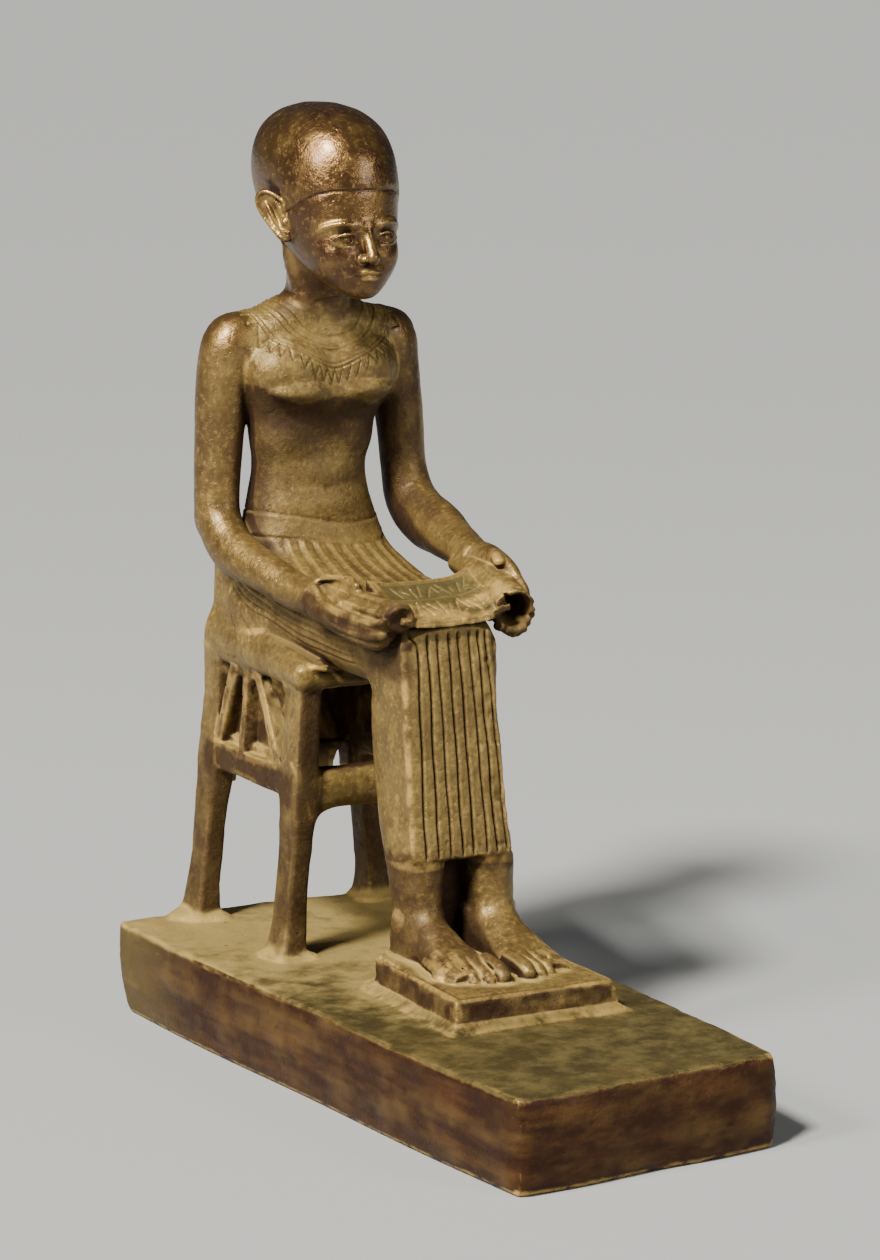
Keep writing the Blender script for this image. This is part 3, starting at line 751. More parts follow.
def relief(P, N):
    """height of the finer relief at points on the skin, and how much of it is broad"""
    x, y, z = P.T
    D = np.zeros(len(P))
    broad = np.zeros(len(P))

    # broad collar: rings of beads as lines, and a hanging row of points
    m = (z > 88) & (z < 107)
    v = P[m] - np.array([0.5, 44.6, 104.4])
    s = np.linalg.norm(v, axis=1)
    a = np.degrees(np.arctan2(v[:, 0], -v[:, 1]))
    d = 0.12 * (1 - step(s, 11.0, 11.5)) * step(s, 5.3, 5.8)
    broad[m] += d
    for ring, deep in ((5.7, 0.1), (6.9, 0.2), (8.0, 0.1), (8.7, 0.22), (10.5, 0.18), (11.05, 0.2)):
        d -= deep * line(s - ring, 0.13)
        d += 0.35 * deep * line(s - ring - 0.28, 0.14)
    tri = np.abs(((a + 360) / 8.8) % 1 * 2 - 1)
    d -= 0.2 * line((s - (11.25 + 1.6 * tri)) * 0.55, 0.11) * (1 - step(np.abs(a), 96, 104)) * (s < 13.3)
    D[m] += d

    # belt
    m = (z > 68) & (z < 78) & (np.abs(x + 0.6) < 11.3) & (y > 33)
    xx, yy, zz = x[m], y[m], z[m]
    rear = step(yy, 41, 46)
    l1 = np.interp(xx, [-10.3, -5.6, 1.1, 7.9, 10], [75.2, 74.5, 73.1, 73.3, 74.4]) * (1 - rear) + 75.0 * rear
    l2 = np.interp(xx, [-9.7, -5.6, 0.1, 8.1, 10], [71.8, 71.5, 70.7, 70.4, 71.3]) * (1 - rear) + 71.8 * rear
    t = (zz - l2) / (l1 - l2)
    D[m] += 0.03 * within(t, 0, 1, 0.15) - 0.2 * line(zz - l1 - 0.1, 0.15) - 0.14 * line(zz - l2 + 0.1, 0.15) + 0.05 * line(zz - l1 + 0.35, 0.2) + 0.05 * line(zz - l2 - 0.35, 0.2)

    # pleats of the kilt over the lap: each a soft ridge beside a groove
    m = (z > 63.5) & (z < 72) & (y > 11) & (y < 39) & (np.abs(x) < 11.5) & (N[:, 2] > 0.05)
    xx, yy, zz = x[m], y[m], z[m]
    u = xx - 0.15 * (yy - 35)
    ph = (u + 8.7) / 2.07
    fr = ph - np.floor(ph)
    ok = within(u, -9.6, 8.6, 0.5) * step(N[m][:, 2], 0.1, 0.4) * (1 - step(zz, l2_at(xx) - 0.5, l2_at(xx) - 0.1))
    ok = ok * step(yy, 13.3, 13.9)
    D[m] += ok * (0.22 * line((fr - 0.36) * 2.07, 0.26) - 0.2 * line(np.minimum(fr, 1 - fr) * 2.07, 0.22))

    # folds along the thighs
    for side, deep in ((-1, 0.2), (1, 0.13)):
        m = (x * side > 7.5) & (z > 54) & (z < 68) & (y > 8) & (y < 50) & (N[:, 0] * side > 0.35)
        yy, zz = y[m], z[m]
        d = 0
        for k, base in enumerate(FOLDS):
            g = zz - (base + 0.0065 * (yy - 14) ** 2 + 0.1 * np.sin(yy * 0.5 + k))
            d = d - deep * line(g, 0.2) + 0.5 * deep * line(g - 0.4, 0.25)
        D[m] += d * within(yy, 12, 45, 2.0)
    m = (x < -8) & (z > 54.5) & (z < 61) & (y > 35) & (y < 45)
    for a_, b_ in (((42, 60), (39, 57.5)), ((39, 57.5), (37.3, 55.7)), ((46, 60.5), (43.5, 57.8)), ((43.5, 57.8), (42.5, 56))):
        D[m] -= 0.2 * line(to_segment(y[m], z[m], a_, b_), 0.22)

    # hanging panel: grooves between flat cords, rougher at its far side
    m = (z > HEM - 0.8) & (z < PANEL_TOP + 1) & (y < 4) & (y > -6) & (np.abs(x) < 8.4) & (N[:, 1] < -0.45)
    xx, zz = x[m], z[m]
    t = (61.7 - zz) / (61.7 - 31.9)
    d = np.zeros(m.sum())
    for k, (top, low) in enumerate(PANEL_LINES):
        g = xx - (top + (low - top) * t + 0.06 * np.sin(zz * 0.45 + 2.1 * k))
        if k == 0:
            g = g + 1.1 * step(zz, 60.2, 62.6) ** 2
        d -= (0.5 - 0.1 * (k % 3 == 2)) * line(g, 0.17) * (1 - step(zz, 62.2, 63.0))
        d += 0.06 * line(g - 0.4, 0.22)
    rough = step(xx, 0.5, 5.0)
    d += 0.1 * rough * noise(P[m], (0.7, 0.7, 1.6), 3) - 0.16 * rough * step(noise(P[m], (0.9, 0.9, 1.3), 4), 0.35, 0.7)
    D[m] += d * step(zz, HEM - 0.1, HEM + 0.5)

    # writing surface: rims, a dividing line and two rows of short strokes
    m = (z > 63.5) & (z < 70) & (y > -1) & (y < 13.8) & (x > -7.6) & (x < 9.4) & (N[:, 2] > 0.4)
    xx, yy = x[m], y[m]
    skew = 0.075 * xx
    d = 0.3 * line(yy - skew - 0.75, 0.5) - 0.22 * line(yy - skew - 1.5, 0.25)
    d -= 0.2 * line(yy - skew - 7.1, 0.14) - 0.12 * line(yy - skew - 6.8, 0.16)
    d -= 0.2 * line(yy - skew - 11.9, 0.14) - 0.12 * line(yy - skew - 12.3, 0.2)
    for row, (y0, y1) in enumerate(((2.3, 6.2), (7.6, 10.9))):
        for k in range(10):
            cx = -5.0 + 1.28 * k + 0.35 * row
            lean = (0.45, -0.3, 0.1, 0.6, -0.5)[(k * 3 + row) % 5]
            lo = y0 + (0.0, 0.7, 0.2, 1.1)[(k + 2 * row) % 4]
            hi = y1 - (0.5, 0.0, 1.0)[(k + row) % 3]
            ys = yy - skew
            d -= 0.2 * line(to_segment(xx, ys, (cx - lean, lo), (cx + lean, hi)), 0.13)
            if (k + row) % 3 == 0:
                d -= 0.16 * line(to_segment(xx, ys, (cx + 0.15, lo + 0.3), (cx + 0.95, lo + 0.5)), 0.12)
    D[m] += d * within(xx, -6.2, 8.3, 0.3)

    # a sunk line round the top of the footrest
    m = (z > 15) & (z < 18.5) & (y < 2) & (y > -24) & (np.abs(x) < 13) & (N[:, 2] > 0.5)
    e = np.minimum(12.6 - np.abs(x[m]), y[m] + 23.4) + 0.25 * noise(P[m], 4.0, 31)
    D[m] -= 0.45 * line(e - 1.25, 0.34) * step(noise(P[m], 7.0, 32), -0.45, 0.1)

    # cap, a little proud of the skin along its edge
    m = z > 106
    e = cap_edge(P[m])
    skull = step(y[m], 24, 25)
    off_ear = 1 - within(z[m], 114, 123.5, 0.3) * step(np.abs(x[m]), 8.8, 9.1) * step(y[m], 34, 35)
    D[m] += (0.22 * step(e, -0.1, 0.2) - 0.12 * line(e + 0.15, 0.2)) * skull * off_ear
    broad[m] += 0.22 * step(e, -0.1, 0.2) * skull * off_ear

    return D, broad


def page_mask(P, N):
    x, y, z = P.T
    return within(x, -6.4, 8.0, 0.4) * within(y - 0.075 * x, 1.2, 12.0, 0.25) * within(z, 63.5, 70, 0.2) * step(N[:, 2], 0.4, 0.7)


def grime(P, N):
    """where dark deposits cover the metal"""
    x, y, z = P.T
    front = step(-N[:, 1], 0.4, 0.8)
    a, out_ = np.abs(x), N[:, 0] * np.sign(x)
    in_chair = within(y, 23.6, 53.6, 0.6) * step(z, 33.5, 36.5) * (1 - step(z, 54, 55))
    g = in_chair * (1 - step(a, 11.3, 11.9))
    g = np.maximum(g, in_chair * (a < 14.6) * step(-out_, 0.2, 0.5))
    g = np.maximum(g, 0.92 * front * within(a, 6.5, 14.3, 0.3) * within(y, 20, 26, 0.6) * within(z, 39.5, 52.4, 0.9))
    # between the struts of the sides and along the rails
    spots = step(noise(P, 1.6, 41), -0.35, 0.3)
    g = np.maximum(g, (0.7 + 0.3 * step(y, 33, 37)) * (0.6 + 0.4 * spots) * within(y, 25.5, 51, 0.5) * within(z, 41.5, 52.4, 0.7) * within(a, 11.2, 13.35, 0.25) * (out_ > 0.2))
    g = np.maximum(g, 0.6 * within(y, 37, 51.5, 0.6) * within(z, 40.5, 52, 0.6) * within(a, 11.0, 14.6, 0.2) * (out_ > 0.1) * (0.7 + 0.3 * spots))
    g = np.maximum(g, 0.95 * step(out_, 0.4, 0.7) * within(z, 34, 39.6, 0.5) * within(y, 23, 53, 1.0))
    legs = (z < 50) & (z > 12.5) & (y > 20) & (a > 9)
    g = np.maximum(g, legs * 0.85 * (1 - step(z, 30, 48)) * (0.7 + 0.3 * spots))
    g = np.maximum(g, legs * 0.85 * step(-N[:, 1], 0.4, 0.7))
    # between the shins, under the hem and on the near ankle
    g = np.maximum(g, within(x, -3.4, 3.4, 0.8) * within(y, 0.4, 6, 0.6) * within(z, 18, 34, 1.2))
    g = np.maximum(g, step(-N[:, 2], 0.3, 0.7) * within(z, 28, 33.5, 0.5) * (y < 12))
    foot = (z > 17.2) & (z < 32) & (y < 9) & (y > -20) & (a < 13)
    g = np.maximum(g, foot * 0.85 * step(-N[:, 0], 0.35, 0.7) * (x < -4) * (0.75 + 0.25 * spots))
    g = np.maximum(g, foot * 0.8 * step(N[:, 0], 0.35, 0.7) * (x < 0))
    g = np.maximum(g, foot * 0.45 * (x < 0) * (0.4 + 0.6 * spots))
    g = np.maximum(g, 0.8 * within(z, 28.6, 31.3, 0.4) * (y < 9) * (a < 13) * step(0.6 - N[:, 2], 0.0, 0.3))
    g = np.maximum(g, 0.3 * within(z, 70.5, 75, 0.5) * (y < 44) * (a < 11.5))
    # faces of the footrest
    g = np.maximum(g, within(z, 12.4, 17.2, 0.4) * (y < 7) * (y > -25) * (a < 14.5) * step(0.75 - N[:, 2], 0.1, 0.4) * (0.6 + 0.4 * spots))
    # under the breast, with the belly clearer
    rim_ = np.interp(x, [-11, -9.9, -5.8, 0.8, 7.1, 9.5], [94.3, 93.3, 91.6, 92.5, 90.8, 92.0])
    body = (y < 46) & (a < 12.2)
    g = np.maximum(g, body * step(rim_ - z, -0.2, 0.6) * (0.95 - 0.55 * step(rim_ - z, 3.6, 9.5)) * step(z, 74, 78))
    g = np.maximum(g, 0.7 * within(z, 66, 90, 3.0) * (x < -7) * body * (y > 36) * step(-N[:, 0], 0.5, 0.8))
    # inner faces of the arms, and under the chin
    g = np.maximum(g, 0.75 * (a > 10.6) * (a < 15) * step(-out_, 0.2, 0.6) * within(z, 74, 99, 2.0))
    g = np.maximum(g, 0.7 * (x > 11) * (x < 16) * step(-N[:, 1], 0.2, 0.6) * within(z, 79, 97, 3.0) * (0.6 + 0.4 * spots))
    g = np.maximum(g, 0.6 * within(z, 103.5, 110.5, 1.0) * step(-N[:, 1], 0.1, 0.5) * (a < 7) * (y > 31))
    # the finger ends under the near hand's rim, and what lies below them
    lower = np.interp(y, [0, 2.5, 8.6, 12.7, 15.8, 18, 19.2, 22], [64.9, 64.6, 64.7, 64.8, 65.2, 65.9, 66.6, 66.8])
    g = np.maximum(g, (x < -8.8) * within(y, -1, 21.5, 0.8) * step(lower - z, -0.15, 0.3) * step(z, 59.6, 60.6) * (0.86 + 0.14 * spots))
    g = np.maximum(g, 0.85 * (1 - step(x, -7.5, -6.0)) * within(y, -2, 10, 1.5) * within(z, 56.0, 61.8, 1.4))
    g = np.maximum(g, 0.68 * step(-N[:, 0], 0.35, 0.7) * within(z, 55.5, 66, 0.8) * within(y, 6, 35, 4.0) * (0.7 + 0.3 * spots))
    # ragged ends of the rolls
    g = np.maximum(g, step(-N[:, 1], 0.0, 0.35) * (1 - step(y, 2.4, 3.6)) * within(z, 60.4, 67.7, 0.4) * within(a, 6.2, 14.5, 0.4))
    g = np.maximum(g, within(x, 7.2, 13.4, 0.5) * (1 - step(y, 5, 7)) * within(z, 61.6, 68, 0.3) * step(sheer(P), 0.1, 0.7))
    # thin streaks down the torso's near side and the chair's rear legs
    g = np.maximum(g, 0.55 * (z > 13) * (z < 52) * (y > 20) * (a > 9) * step(noise(P, (1.3, 1.3, 6.0), 42), 0.15, 0.7))
    return g


def sheer(P):
    """how far inside the far roll's bore a point is"""
    axis = np.interp(P[:, 1], [-3, 1.8, 5, 8], [10.0, 10.25, 10.7, 11.1]), np.interp(P[:, 1], [-3, 1.8, 5, 8], [64.3, 65.1, 66.0, 66.9])
    return 1 - np.clip((np.hypot(P[:, 0] - axis[0], P[:, 2] - axis[1]) - 2.6) / 0.7, 0, 1)


def polish(P, N):
    """where the metal is bare and smooth from handling"""
    x, y, z = P.T
    a = np.abs(x)
    g = step(z, 104.5, 107.5)
    g = np.maximum(g, 0.45 * step(a, 10.4, 12.4) * step(z, 64, 67.5))
    g = np.maximum(g, 0.8 * step(a, 10.4, 12.4) * step(z, 96, 101))
    g = np.maximum(g, 0.35 * (x < -8) * (y < 27) * within(z, 62, 71, 0.5))
    g = np.maximum(g, 0.25 * within(z, 17, 30, 1.0) * (y < 8))
    return np.maximum(g, 0.1)


def l2_at(x):
    return np.interp(x, [-9.7, -5.6, 0.1, 8.1, 10], [71.8, 71.5, 70.7, 70.4, 71.3])


def roughness(P, N, deep):
    """unevenness of the cast and worn skin, mm"""
    x, y, z = P.T
    base = step(-z, -14.5, -12.0)                  # plinth
    chair_ = (z < 56) & (z > 12.5) & (y > 18)
    cloth = (z < 68) & (z > 31) & (y < 52)
    smooth_ = z > 104
    amp = 1 + 1.0 * chair_ + 0.6 * base + 0.5 * cloth
    amp = np.where(smooth_, 0.25, amp)
    D = amp * (0.06 * noise(P, 4.2, 11) + 0.03 * noise(P, 1.7, 12))
    pits = step(noise(P, 0.8, 13), 0.5, 0.8)
    D -= np.where(smooth_, 0.02, 0.05 + 0.05 * cloth + 0.06 * chair_) * pits * (0.3 + 0.7 * step(noise(P, 9, 14), -0.1, 0.5))
    # the recesses of the chair keep the roughness of the mould
    D += 0.28 * chair_ * deep * noise(P, 1.1, 21) + 0.25 * chair_ * deep * noise(P, 2.3, 22)
    # so do the footrest's faces
    face_ = within(z, 12.6, 17.2, 0.5) * (y < 6) * (y > -25) * (np.abs(x) < 14) * (np.abs(N[:, 2]) < 0.6)
    D += face_ * (0.12 * noise(P, 1.3, 24) + 0.08 * noise(P, 0.7, 25))
    # ankles and hem are rough
    D += 0.07 * noise(P, 0.8, 15) * within(z, 17.5, 31, 1.5) * (y < 8)
    # ragged ends of the two rolls
    D += 0.13 * noise(P, 0.9, 23) * (1 - step(y, 1.2, 2.6)) * within(z, 60.5, 69, 0.4) * (np.abs(x) > 6.3) * (np.abs(x) < 15)
    # long shallow ripples along the sides of the plinth
    side = base * (np.abs(N[:, 2]) < 0.6)
    D += side * (0.10 * noise(P, (9, 14, 2.6), 16) + 0.05 * noise(P, (3, 7, 0.8), 17))
    top = base * (N[:, 2] > 0.6) * (z > 11)
    D += top * (0.10 * noise(P, 6.5, 18) + 0.04 * noise(P, 2.1, 19))
    return D * step(z, -0.7, 0.4)                  # the underside stays flat


class Shelter:
    """how much of the casting stands around a point, at a few millimetres"""

    def __init__(self, f, sigma):
        n = tuple(v // 5 * 5 for v in f.d.shape)
        self.i0 = f.i0
        self.sigma = sigma
        o = (f.d[:n[0], :n[1], :n[2]] < 0).reshape(n[0] // 5, 5, n[1] // 5, 5, n[2] // 5, 5).mean((1, 3, 5), dtype=np.float32)
        self.pad = int(3 * sigma) + 1
        o = np.pad(o, self.pad)
        k = np.exp(-0.5 * (np.arange(-self.pad, self.pad + 1) / sigma) ** 2)
        k /= k.sum()
        for ax in range(3):
            o = np.apply_along_axis(lambda v: np.convolve(v, k, "same"), ax, o)
        self.d = o.astype(np.float32)

    def at(self, P, N):
        q = (P + N * self.sigma) / H - self.i0
        q = (q - 2.0) / 5 + self.pad
        q = np.clip(q, 0, np.array(self.d.shape) - 1.001)
        i = q.astype(np.int64)
        t = q - i
        out = 0
        for dx in (0, 1):
            for dy in (0, 1):
                for dz in (0, 1):
                    w = (t[:, 0] if dx else 1 - t[:, 0]) * (t[:, 1] if dy else 1 - t[:, 1]) * (t[:, 2] if dz else 1 - t[:, 2])
                    out = out + w * self.d[i[:, 0] + dx, i[:, 1] + dy, i[:, 2] + dz]
        return np.clip((out - 0.16) / 0.34, 0, 1)


def refined(P, T, mark):
    """the marked triangles in four, and the ones beside them split to match"""
    n = len(T)
    E = np.sort(np.concatenate([T[:, [0, 1]], T[:, [1, 2]], T[:, [2, 0]]]), axis=1)
    key = E[:, 0] * len(P) + E[:, 1]
    cut = np.unique(key[np.tile(mark, 3)])
    pos = np.minimum(np.searchsorted(cut, key), len(cut) - 1)
    hit = (cut[pos] == key).reshape(3, n).T
    mid = (len(P) + pos).reshape(3, n).T
    M = (P[cut // len(P)] + P[cut % len(P)]) / 2
    count = hit.sum(1)
    tri = lambda a, b, c: np.stack([a, b, c], 1)
    out = [T[count == 0]]
    t, m = T[count == 3], mid[count == 3]
    out += [tri(t[:, 0], m[:, 0], m[:, 2]), tri(m[:, 0], t[:, 1], m[:, 1]), tri(m[:, 2], m[:, 1], t[:, 2]), tri(m[:, 0], m[:, 1], m[:, 2])]
    for r in range(3):
        k = (count == 1) & hit[:, r]
        a, b, c, q = T[k, r], T[k, (r + 1) % 3], T[k, (r + 2) % 3], mid[k, r]
        out += [tri(a, q, c), tri(q, b, c)]
        k = (count == 2) & ~hit[:, r]
        a, b, c, q, w = T[k, (r + 1) % 3], T[k, (r + 2) % 3], T[k, r], mid[k, (r + 1) % 3], mid[k, (r + 2) % 3]
        out += [tri(q, b, w), tri(a, q, w), tri(a, w, c)]
    return np.concatenate([P, M]), np.concatenate(out)


def wants_detail(P):
    x, y, z = P.T
    s = np.linalg.norm(P - np.array([0.5, 44.6, 104.4]), axis=1)
    face = (z > 107.5) & (z < 124.5) & (y < 32.5)
    ear = (z > 114.5) & (z < 124) & (np.abs(x) > 7.6) & (y > 35) & (y < 42)
    collar = (s > 5.2) & (s < 13.3) & (z < 106) & (z > 88)
    page = (z > 63.8) & (z < 70) & (y < 14.5) & (y > -0.5) & (x > -7.5) & (x < 9.5)
    hand = (z > 60) & (z < 73) & (y < 20) & (np.abs(x) > 6.5)
    panel = (z > HEM - 1) & (z < 64.5) & (y < 2.5) & (np.abs(x) < 8.5)
    toes = (z > 15.5) & (z < 20.5) & (y < -9) & (y > -20)
    rest = (z > 15.4) & (z < 17.4) & (y < 3) & (y > -24.5) & (np.abs(x) < 14) & ((np.abs(x) > 9.8) | (y < -20.6))
    return face | ear | collar | page | hand | panel | toes | rest


def skin_of(f):
    g = vdb.FloatGrid()
    g.background = FAR
    g.copyFromArray(f.d, ijk=tuple(int(v) for v in f.i0), tolerance=0)
    g.transform = vdb.createLinearTransform(voxelSize=H)
    P, T, Q = g.convertToPolygons(isovalue=0, adaptivity=0)
    P = np.asarray(P, np.float64)
    Q = np.asarray(Q, np.int64)
    T = np.asarray(T, np.int64).reshape(-1, 3)
    T = np.concatenate([T, Q[:, [0, 1, 2]], Q[:, [0, 2, 3]]])
    return P, T


def biggest(P, T):
    """only the largest closed piece of the skin"""
    n = len(P)
    label = np.arange(n)
    E = np.concatenate([T[:, [0, 1]], T[:, [1, 2]]])
    while True:
        low = np.minimum(label[E[:, 0]], label[E[:, 1]])
        before = label.copy()
        np.minimum.at(label, E[:, 0], low)
        np.minimum.at(label, E[:, 1], low)
        label = label[label]
        label = label[label]
        if (label == before).all():
            break
    names, counts = np.unique(label, return_counts=True)
    keep = label == names[counts.argmax()]
    note("pieces of skin:", len(names), "largest", counts.max(), "of", n)
    T = T[keep[T].all(1)]
    index = np.cumsum(keep) - 1
    return P[keep], index[T]


def mesh_from(name, P, T):
    me = bpy.data.meshes.new(name)
    me.vertices.add(len(P))
    me.vertices.foreach_set("co", np.ascontiguousarray(P, np.float32).ravel())
    me.loops.add(len(T) * 3)
    me.loops.foreach_set("vertex_index", np.ascontiguousarray(T, np.int32).ravel())
    me.polygons.add(len(T))
    me.polygons.foreach_set("loop_start", np.arange(len(T), dtype=np.int32) * 3)
    me.update(calc_edges=True)
    me.validate()
    return me


def arrays(me):
    P = np.empty(len(me.vertices) * 3, np.float32)
    me.vertices.foreach_get("co", P)
    T = np.empty(len(me.loops), np.int32)
    me.loops.foreach_get("vertex_index", T)
    return P.reshape(-1, 3).astype(np.float64), T.reshape(-1, 3)


def thinned(P, T, target):
    me = mesh_from("dense", P, T)
    ob = bpy.data.objects.new("dense", me)
    bpy.context.scene.collection.objects.link(ob)
    mod = ob.modifiers.new("thin", "DECIMATE")
    mod.decimate_type = "COLLAPSE"
    mod.ratio = target / len(T)
    mod.use_collapse_triangulate = True
    deps = bpy.context.evaluated_depsgraph_get()
    out = bpy.data.meshes.new_from_object(ob.evaluated_get(deps))
    P2, T2 = arrays(out)
    bpy.data.objects.remove(ob)
    bpy.data.meshes.remove(me)
    bpy.data.meshes.remove(out)
    return P2, T2


def casting():
    f = build()
    P, T = skin_of(f)
    note("skin", len(P), "points", len(T), "triangles")
    P, T = biggest(P, T)
    P, T = refined(P, T, wants_detail(P[T].mean(1)))
    near, wide = Shelter(f, 2.2), Shelter(f, 5.0)
    N = gradient(f, P)
    D, broad = relief(P, N)
    P = P + N * (D + roughness(P, N, near.at(P, N)))[:, None]
    note("relief on", len(T), "triangles")
    P, T = thinned(P, T, TRIANGLES)
    note("thinned to", len(P), "points", len(T), "triangles")
    N = gradient(f, P, 0.35)
    D, broad = relief(P, N)
    lift = sample(f, P)
    hollow = sum((d + lift - sample(f, P + N * d)) / d for d in (0.7, 1.4, 2.2)) / 3
    edge = sum((d - lift + sample(f, P - N * d)) / d for d in (0.4, 0.8, 1.2)) / 3
    edge = edge * (1 + 0.45 * within(P[:, 2], 13, 61, 1.5) * step(np.abs(P[:, 0]), 5.5, 7.5))
    row = to_row(P)
    row[:, 2] = np.maximum(row[:, 2], 0.0)
    me = mesh_from("seated_figure", row * 0.001, T)
    for name, value in (("hollow", np.clip(hollow, 0, 1)), ("rim", np.clip(edge, 0, 1)), ("carve", np.clip(-D * 3, 0, 1)),
                        ("raise", np.clip((D - broad) * 4 + (lift - D) * 2, 0, 1)), ("height", P[:, 2] / 140), ("sheltered", near.at(P, N)), ("enclosed", wide.at(P, N)), ("page", page_mask(P, N)),
                        ("grime", grime(P, N)), ("polish", polish(P, N))):
        at = me.attributes.new(name, "FLOAT", "POINT")
        at.data.foreach_set("value", np.ascontiguousarray(value, np.float32))
    me.polygons.foreach_set("use_smooth", np.ones(len(me.polygons), bool))
    me.update()
    ob = bpy.data.objects.new("seated_figure", me)
    bpy.context.scene.collection.objects.link(ob)
    return ob


# ---------------------------------------------------------------- the bronze

def bronze():
    mat = bpy.data.materials.new("old_bronze")
    mat.use_nodes = True
    nt = mat.node_tree
    nt.nodes.clear()
    new, link = nt.nodes.new, nt.links.new

    out = new("ShaderNodeOutputMaterial")
    bs = new("ShaderNodeBsdfPrincipled")
    link(bs.outputs[0], out.inputs[0])
    co = new("ShaderNodeTexCoord").outputs["Object"]

    def attr(name):
        a = new("ShaderNodeAttribute")
        a.attribute_name = name
        return a.outputs["Fac"]

    def tex(scale, detail=3, rough=0.55, squash=None, distort=0.0):
        src = co
        if squash:
            mp = new("ShaderNodeMapping")
            mp.inputs["Scale"].default_value = squash
            link(co, mp.inputs[0])
            src = mp.outputs[0]
        n = new("ShaderNodeTexNoise")
        n.inputs["Scale"].default_value = scale
        n.inputs["Detail"].default_value = detail
        n.inputs["Roughness"].default_value = rough
        n.inputs["Distortion"].default_value = distort
        link(src, n.inputs["Vector"])
        return n.outputs["Fac"]

    def math_(op, a, b=0.0, clamp=False):
        n = new("ShaderNodeMath")
        n.operation = op
        n.use_clamp = clamp
        for i, v in enumerate((a, b)):
            if hasattr(v, "is_linked") or isinstance(v, bpy.types.NodeSocket):
                link(v, n.inputs[i])
            else:
                n.inputs[i].default_value = v
        return n.outputs[0]

    def span(v, a, b, lo=0.0, hi=1.0):
        n = new("ShaderNodeMapRange")
        n.interpolation_type = "SMOOTHSTEP"
        link(v, n.inputs["Value"])
        for k, w in (("From Min", a), ("From Max", b), ("To Min", lo), ("To Max", hi)):
            n.inputs[k].default_value = w
        return n.outputs["Result"]

    def mix(fac, a, b):
        n = new("ShaderNodeMix")
        n.data_type = "RGBA"
        link(fac, n.inputs[0])
        for i, v in ((6, a), (7, b)):
            if isinstance(v, bpy.types.NodeSocket):
                link(v, n.inputs[i])
            else:
                n.inputs[i].default_value = (*v, 1)
        return n.outputs[2]

    hollow, rim, carve, up_, height = attr("hollow"), attr("rim"), attr("carve"), attr("raise"), attr("height")
    sheltered, enclosed = attr("sheltered"), attr("enclosed")
    geo = new("ShaderNodeNewGeometry")
    sep = new("ShaderNodeSeparateXYZ")
    link(geo.outputs["Normal"], sep.inputs[0])
    nz = sep.outputs["Z"]

    big = tex(55, 4, 0.6)
    mid = tex(260, 4, 0.65)
    small = tex(1300, 3, 0.6)
    grain = tex(3800, 2, 0.5)

    # colour: olive-brown patina, dark red-brown where the metal is bare
    polished, grimy = attr("polish"), attr("grime")
    patina = mix(span(big, 0.38, 0.62), (0.120, 0.078, 0.024), (0.190, 0.132, 0.038))
    patina = mix(math_("MULTIPLY", span(mid, 0.42, 0.70), 0.65), patina, (0.265, 0.185, 0.052))
    patina = mix(math_("MULTIPLY", span(small, 0.50, 0.70), 0.40), patina, (0.38, 0.26, 0.080))
    patina = mix(math_("MULTIPLY", span(small, 0.46, 0.30), 0.45), patina, (0.060, 0.030, 0.012))
    bare = mix(span(big, 0.36, 0.64), (0.085, 0.040, 0.017), (0.150, 0.082, 0.027))
    bare = mix(math_("MULTIPLY", span(mid, 0.46, 0.72), 0.6), bare, (0.25, 0.150, 0.045))
    bare = mix(math_("MULTIPLY", span(small, 0.54, 0.72), 0.5), bare, (0.44, 0.28, 0.085))
    col = mix(polished, patina, bare)
    page = attr("page")
    off = math_("SUBTRACT", 1.0, page)
    dark = math_("MAXIMUM", span(hollow, 0.14, 0.6), math_("MULTIPLY", math_("MULTIPLY", carve, off), 0.85))
    dark = math_("MAXIMUM", dark, span(sheltered, 0.30, 0.85))
    dark = math_("MAXIMUM", dark, math_("MULTIPLY", span(enclosed, 0.35, 0.9), 0.9))
    dark = math_("MAXIMUM", dark, math_("MULTIPLY", span(nz, -0.15, -0.75), 0.5))
    dark = math_("MAXIMUM", dark, math_("MULTIPLY", grimy, 0.97))
    col = mix(math_("MULTIPLY", page, 0.7), col, (0.085, 0.074, 0.028))
    col = mix(math_("MULTIPLY", dark, 0.93), col, (0.022, 0.009, 0.007))
    col = mix(math_("MULTIPLY", math_("MULTIPLY", carve, page), 0.85), col, (0.34, 0.27, 0.10))
    # plinth: dark olive top, red-brown sides that turn olive towards the rear
    place = new("ShaderNodeSeparateXYZ")
    link(co, place.inputs[0])
    along = place.outputs["Y"]
    low = span(height, 0.083, 0.0885, 1.0, 0.0)
    slab = span(height, 0.0885, 0.0940, 1.0, 0.0)
    steep = span(nz, 0.35, 0.75, 1.0, 0.0)
    sides = math_("MULTIPLY", low, steep)
    upper = math_("MULTIPLY", slab, span(nz, 0.4, 0.8))
    col = mix(math_("MULTIPLY", upper, 0.92), col, mix(span(mid, 0.35, 0.68), (0.052, 0.042, 0.016), (0.120, 0.095, 0.034)))
    flank = mix(span(tex(160, 4, 0.65, (1, 0.5, 2.4)), 0.38, 0.75), (0.020, 0.0055, 0.0032), (0.058, 0.024, 0.0085))
    flank = mix(math_("MULTIPLY", span(along, 0.030, 0.052), 0.6), flank, (0.105, 0.078, 0.027))
    col = mix(math_("MULTIPLY", sides, 0.96), col, flank)
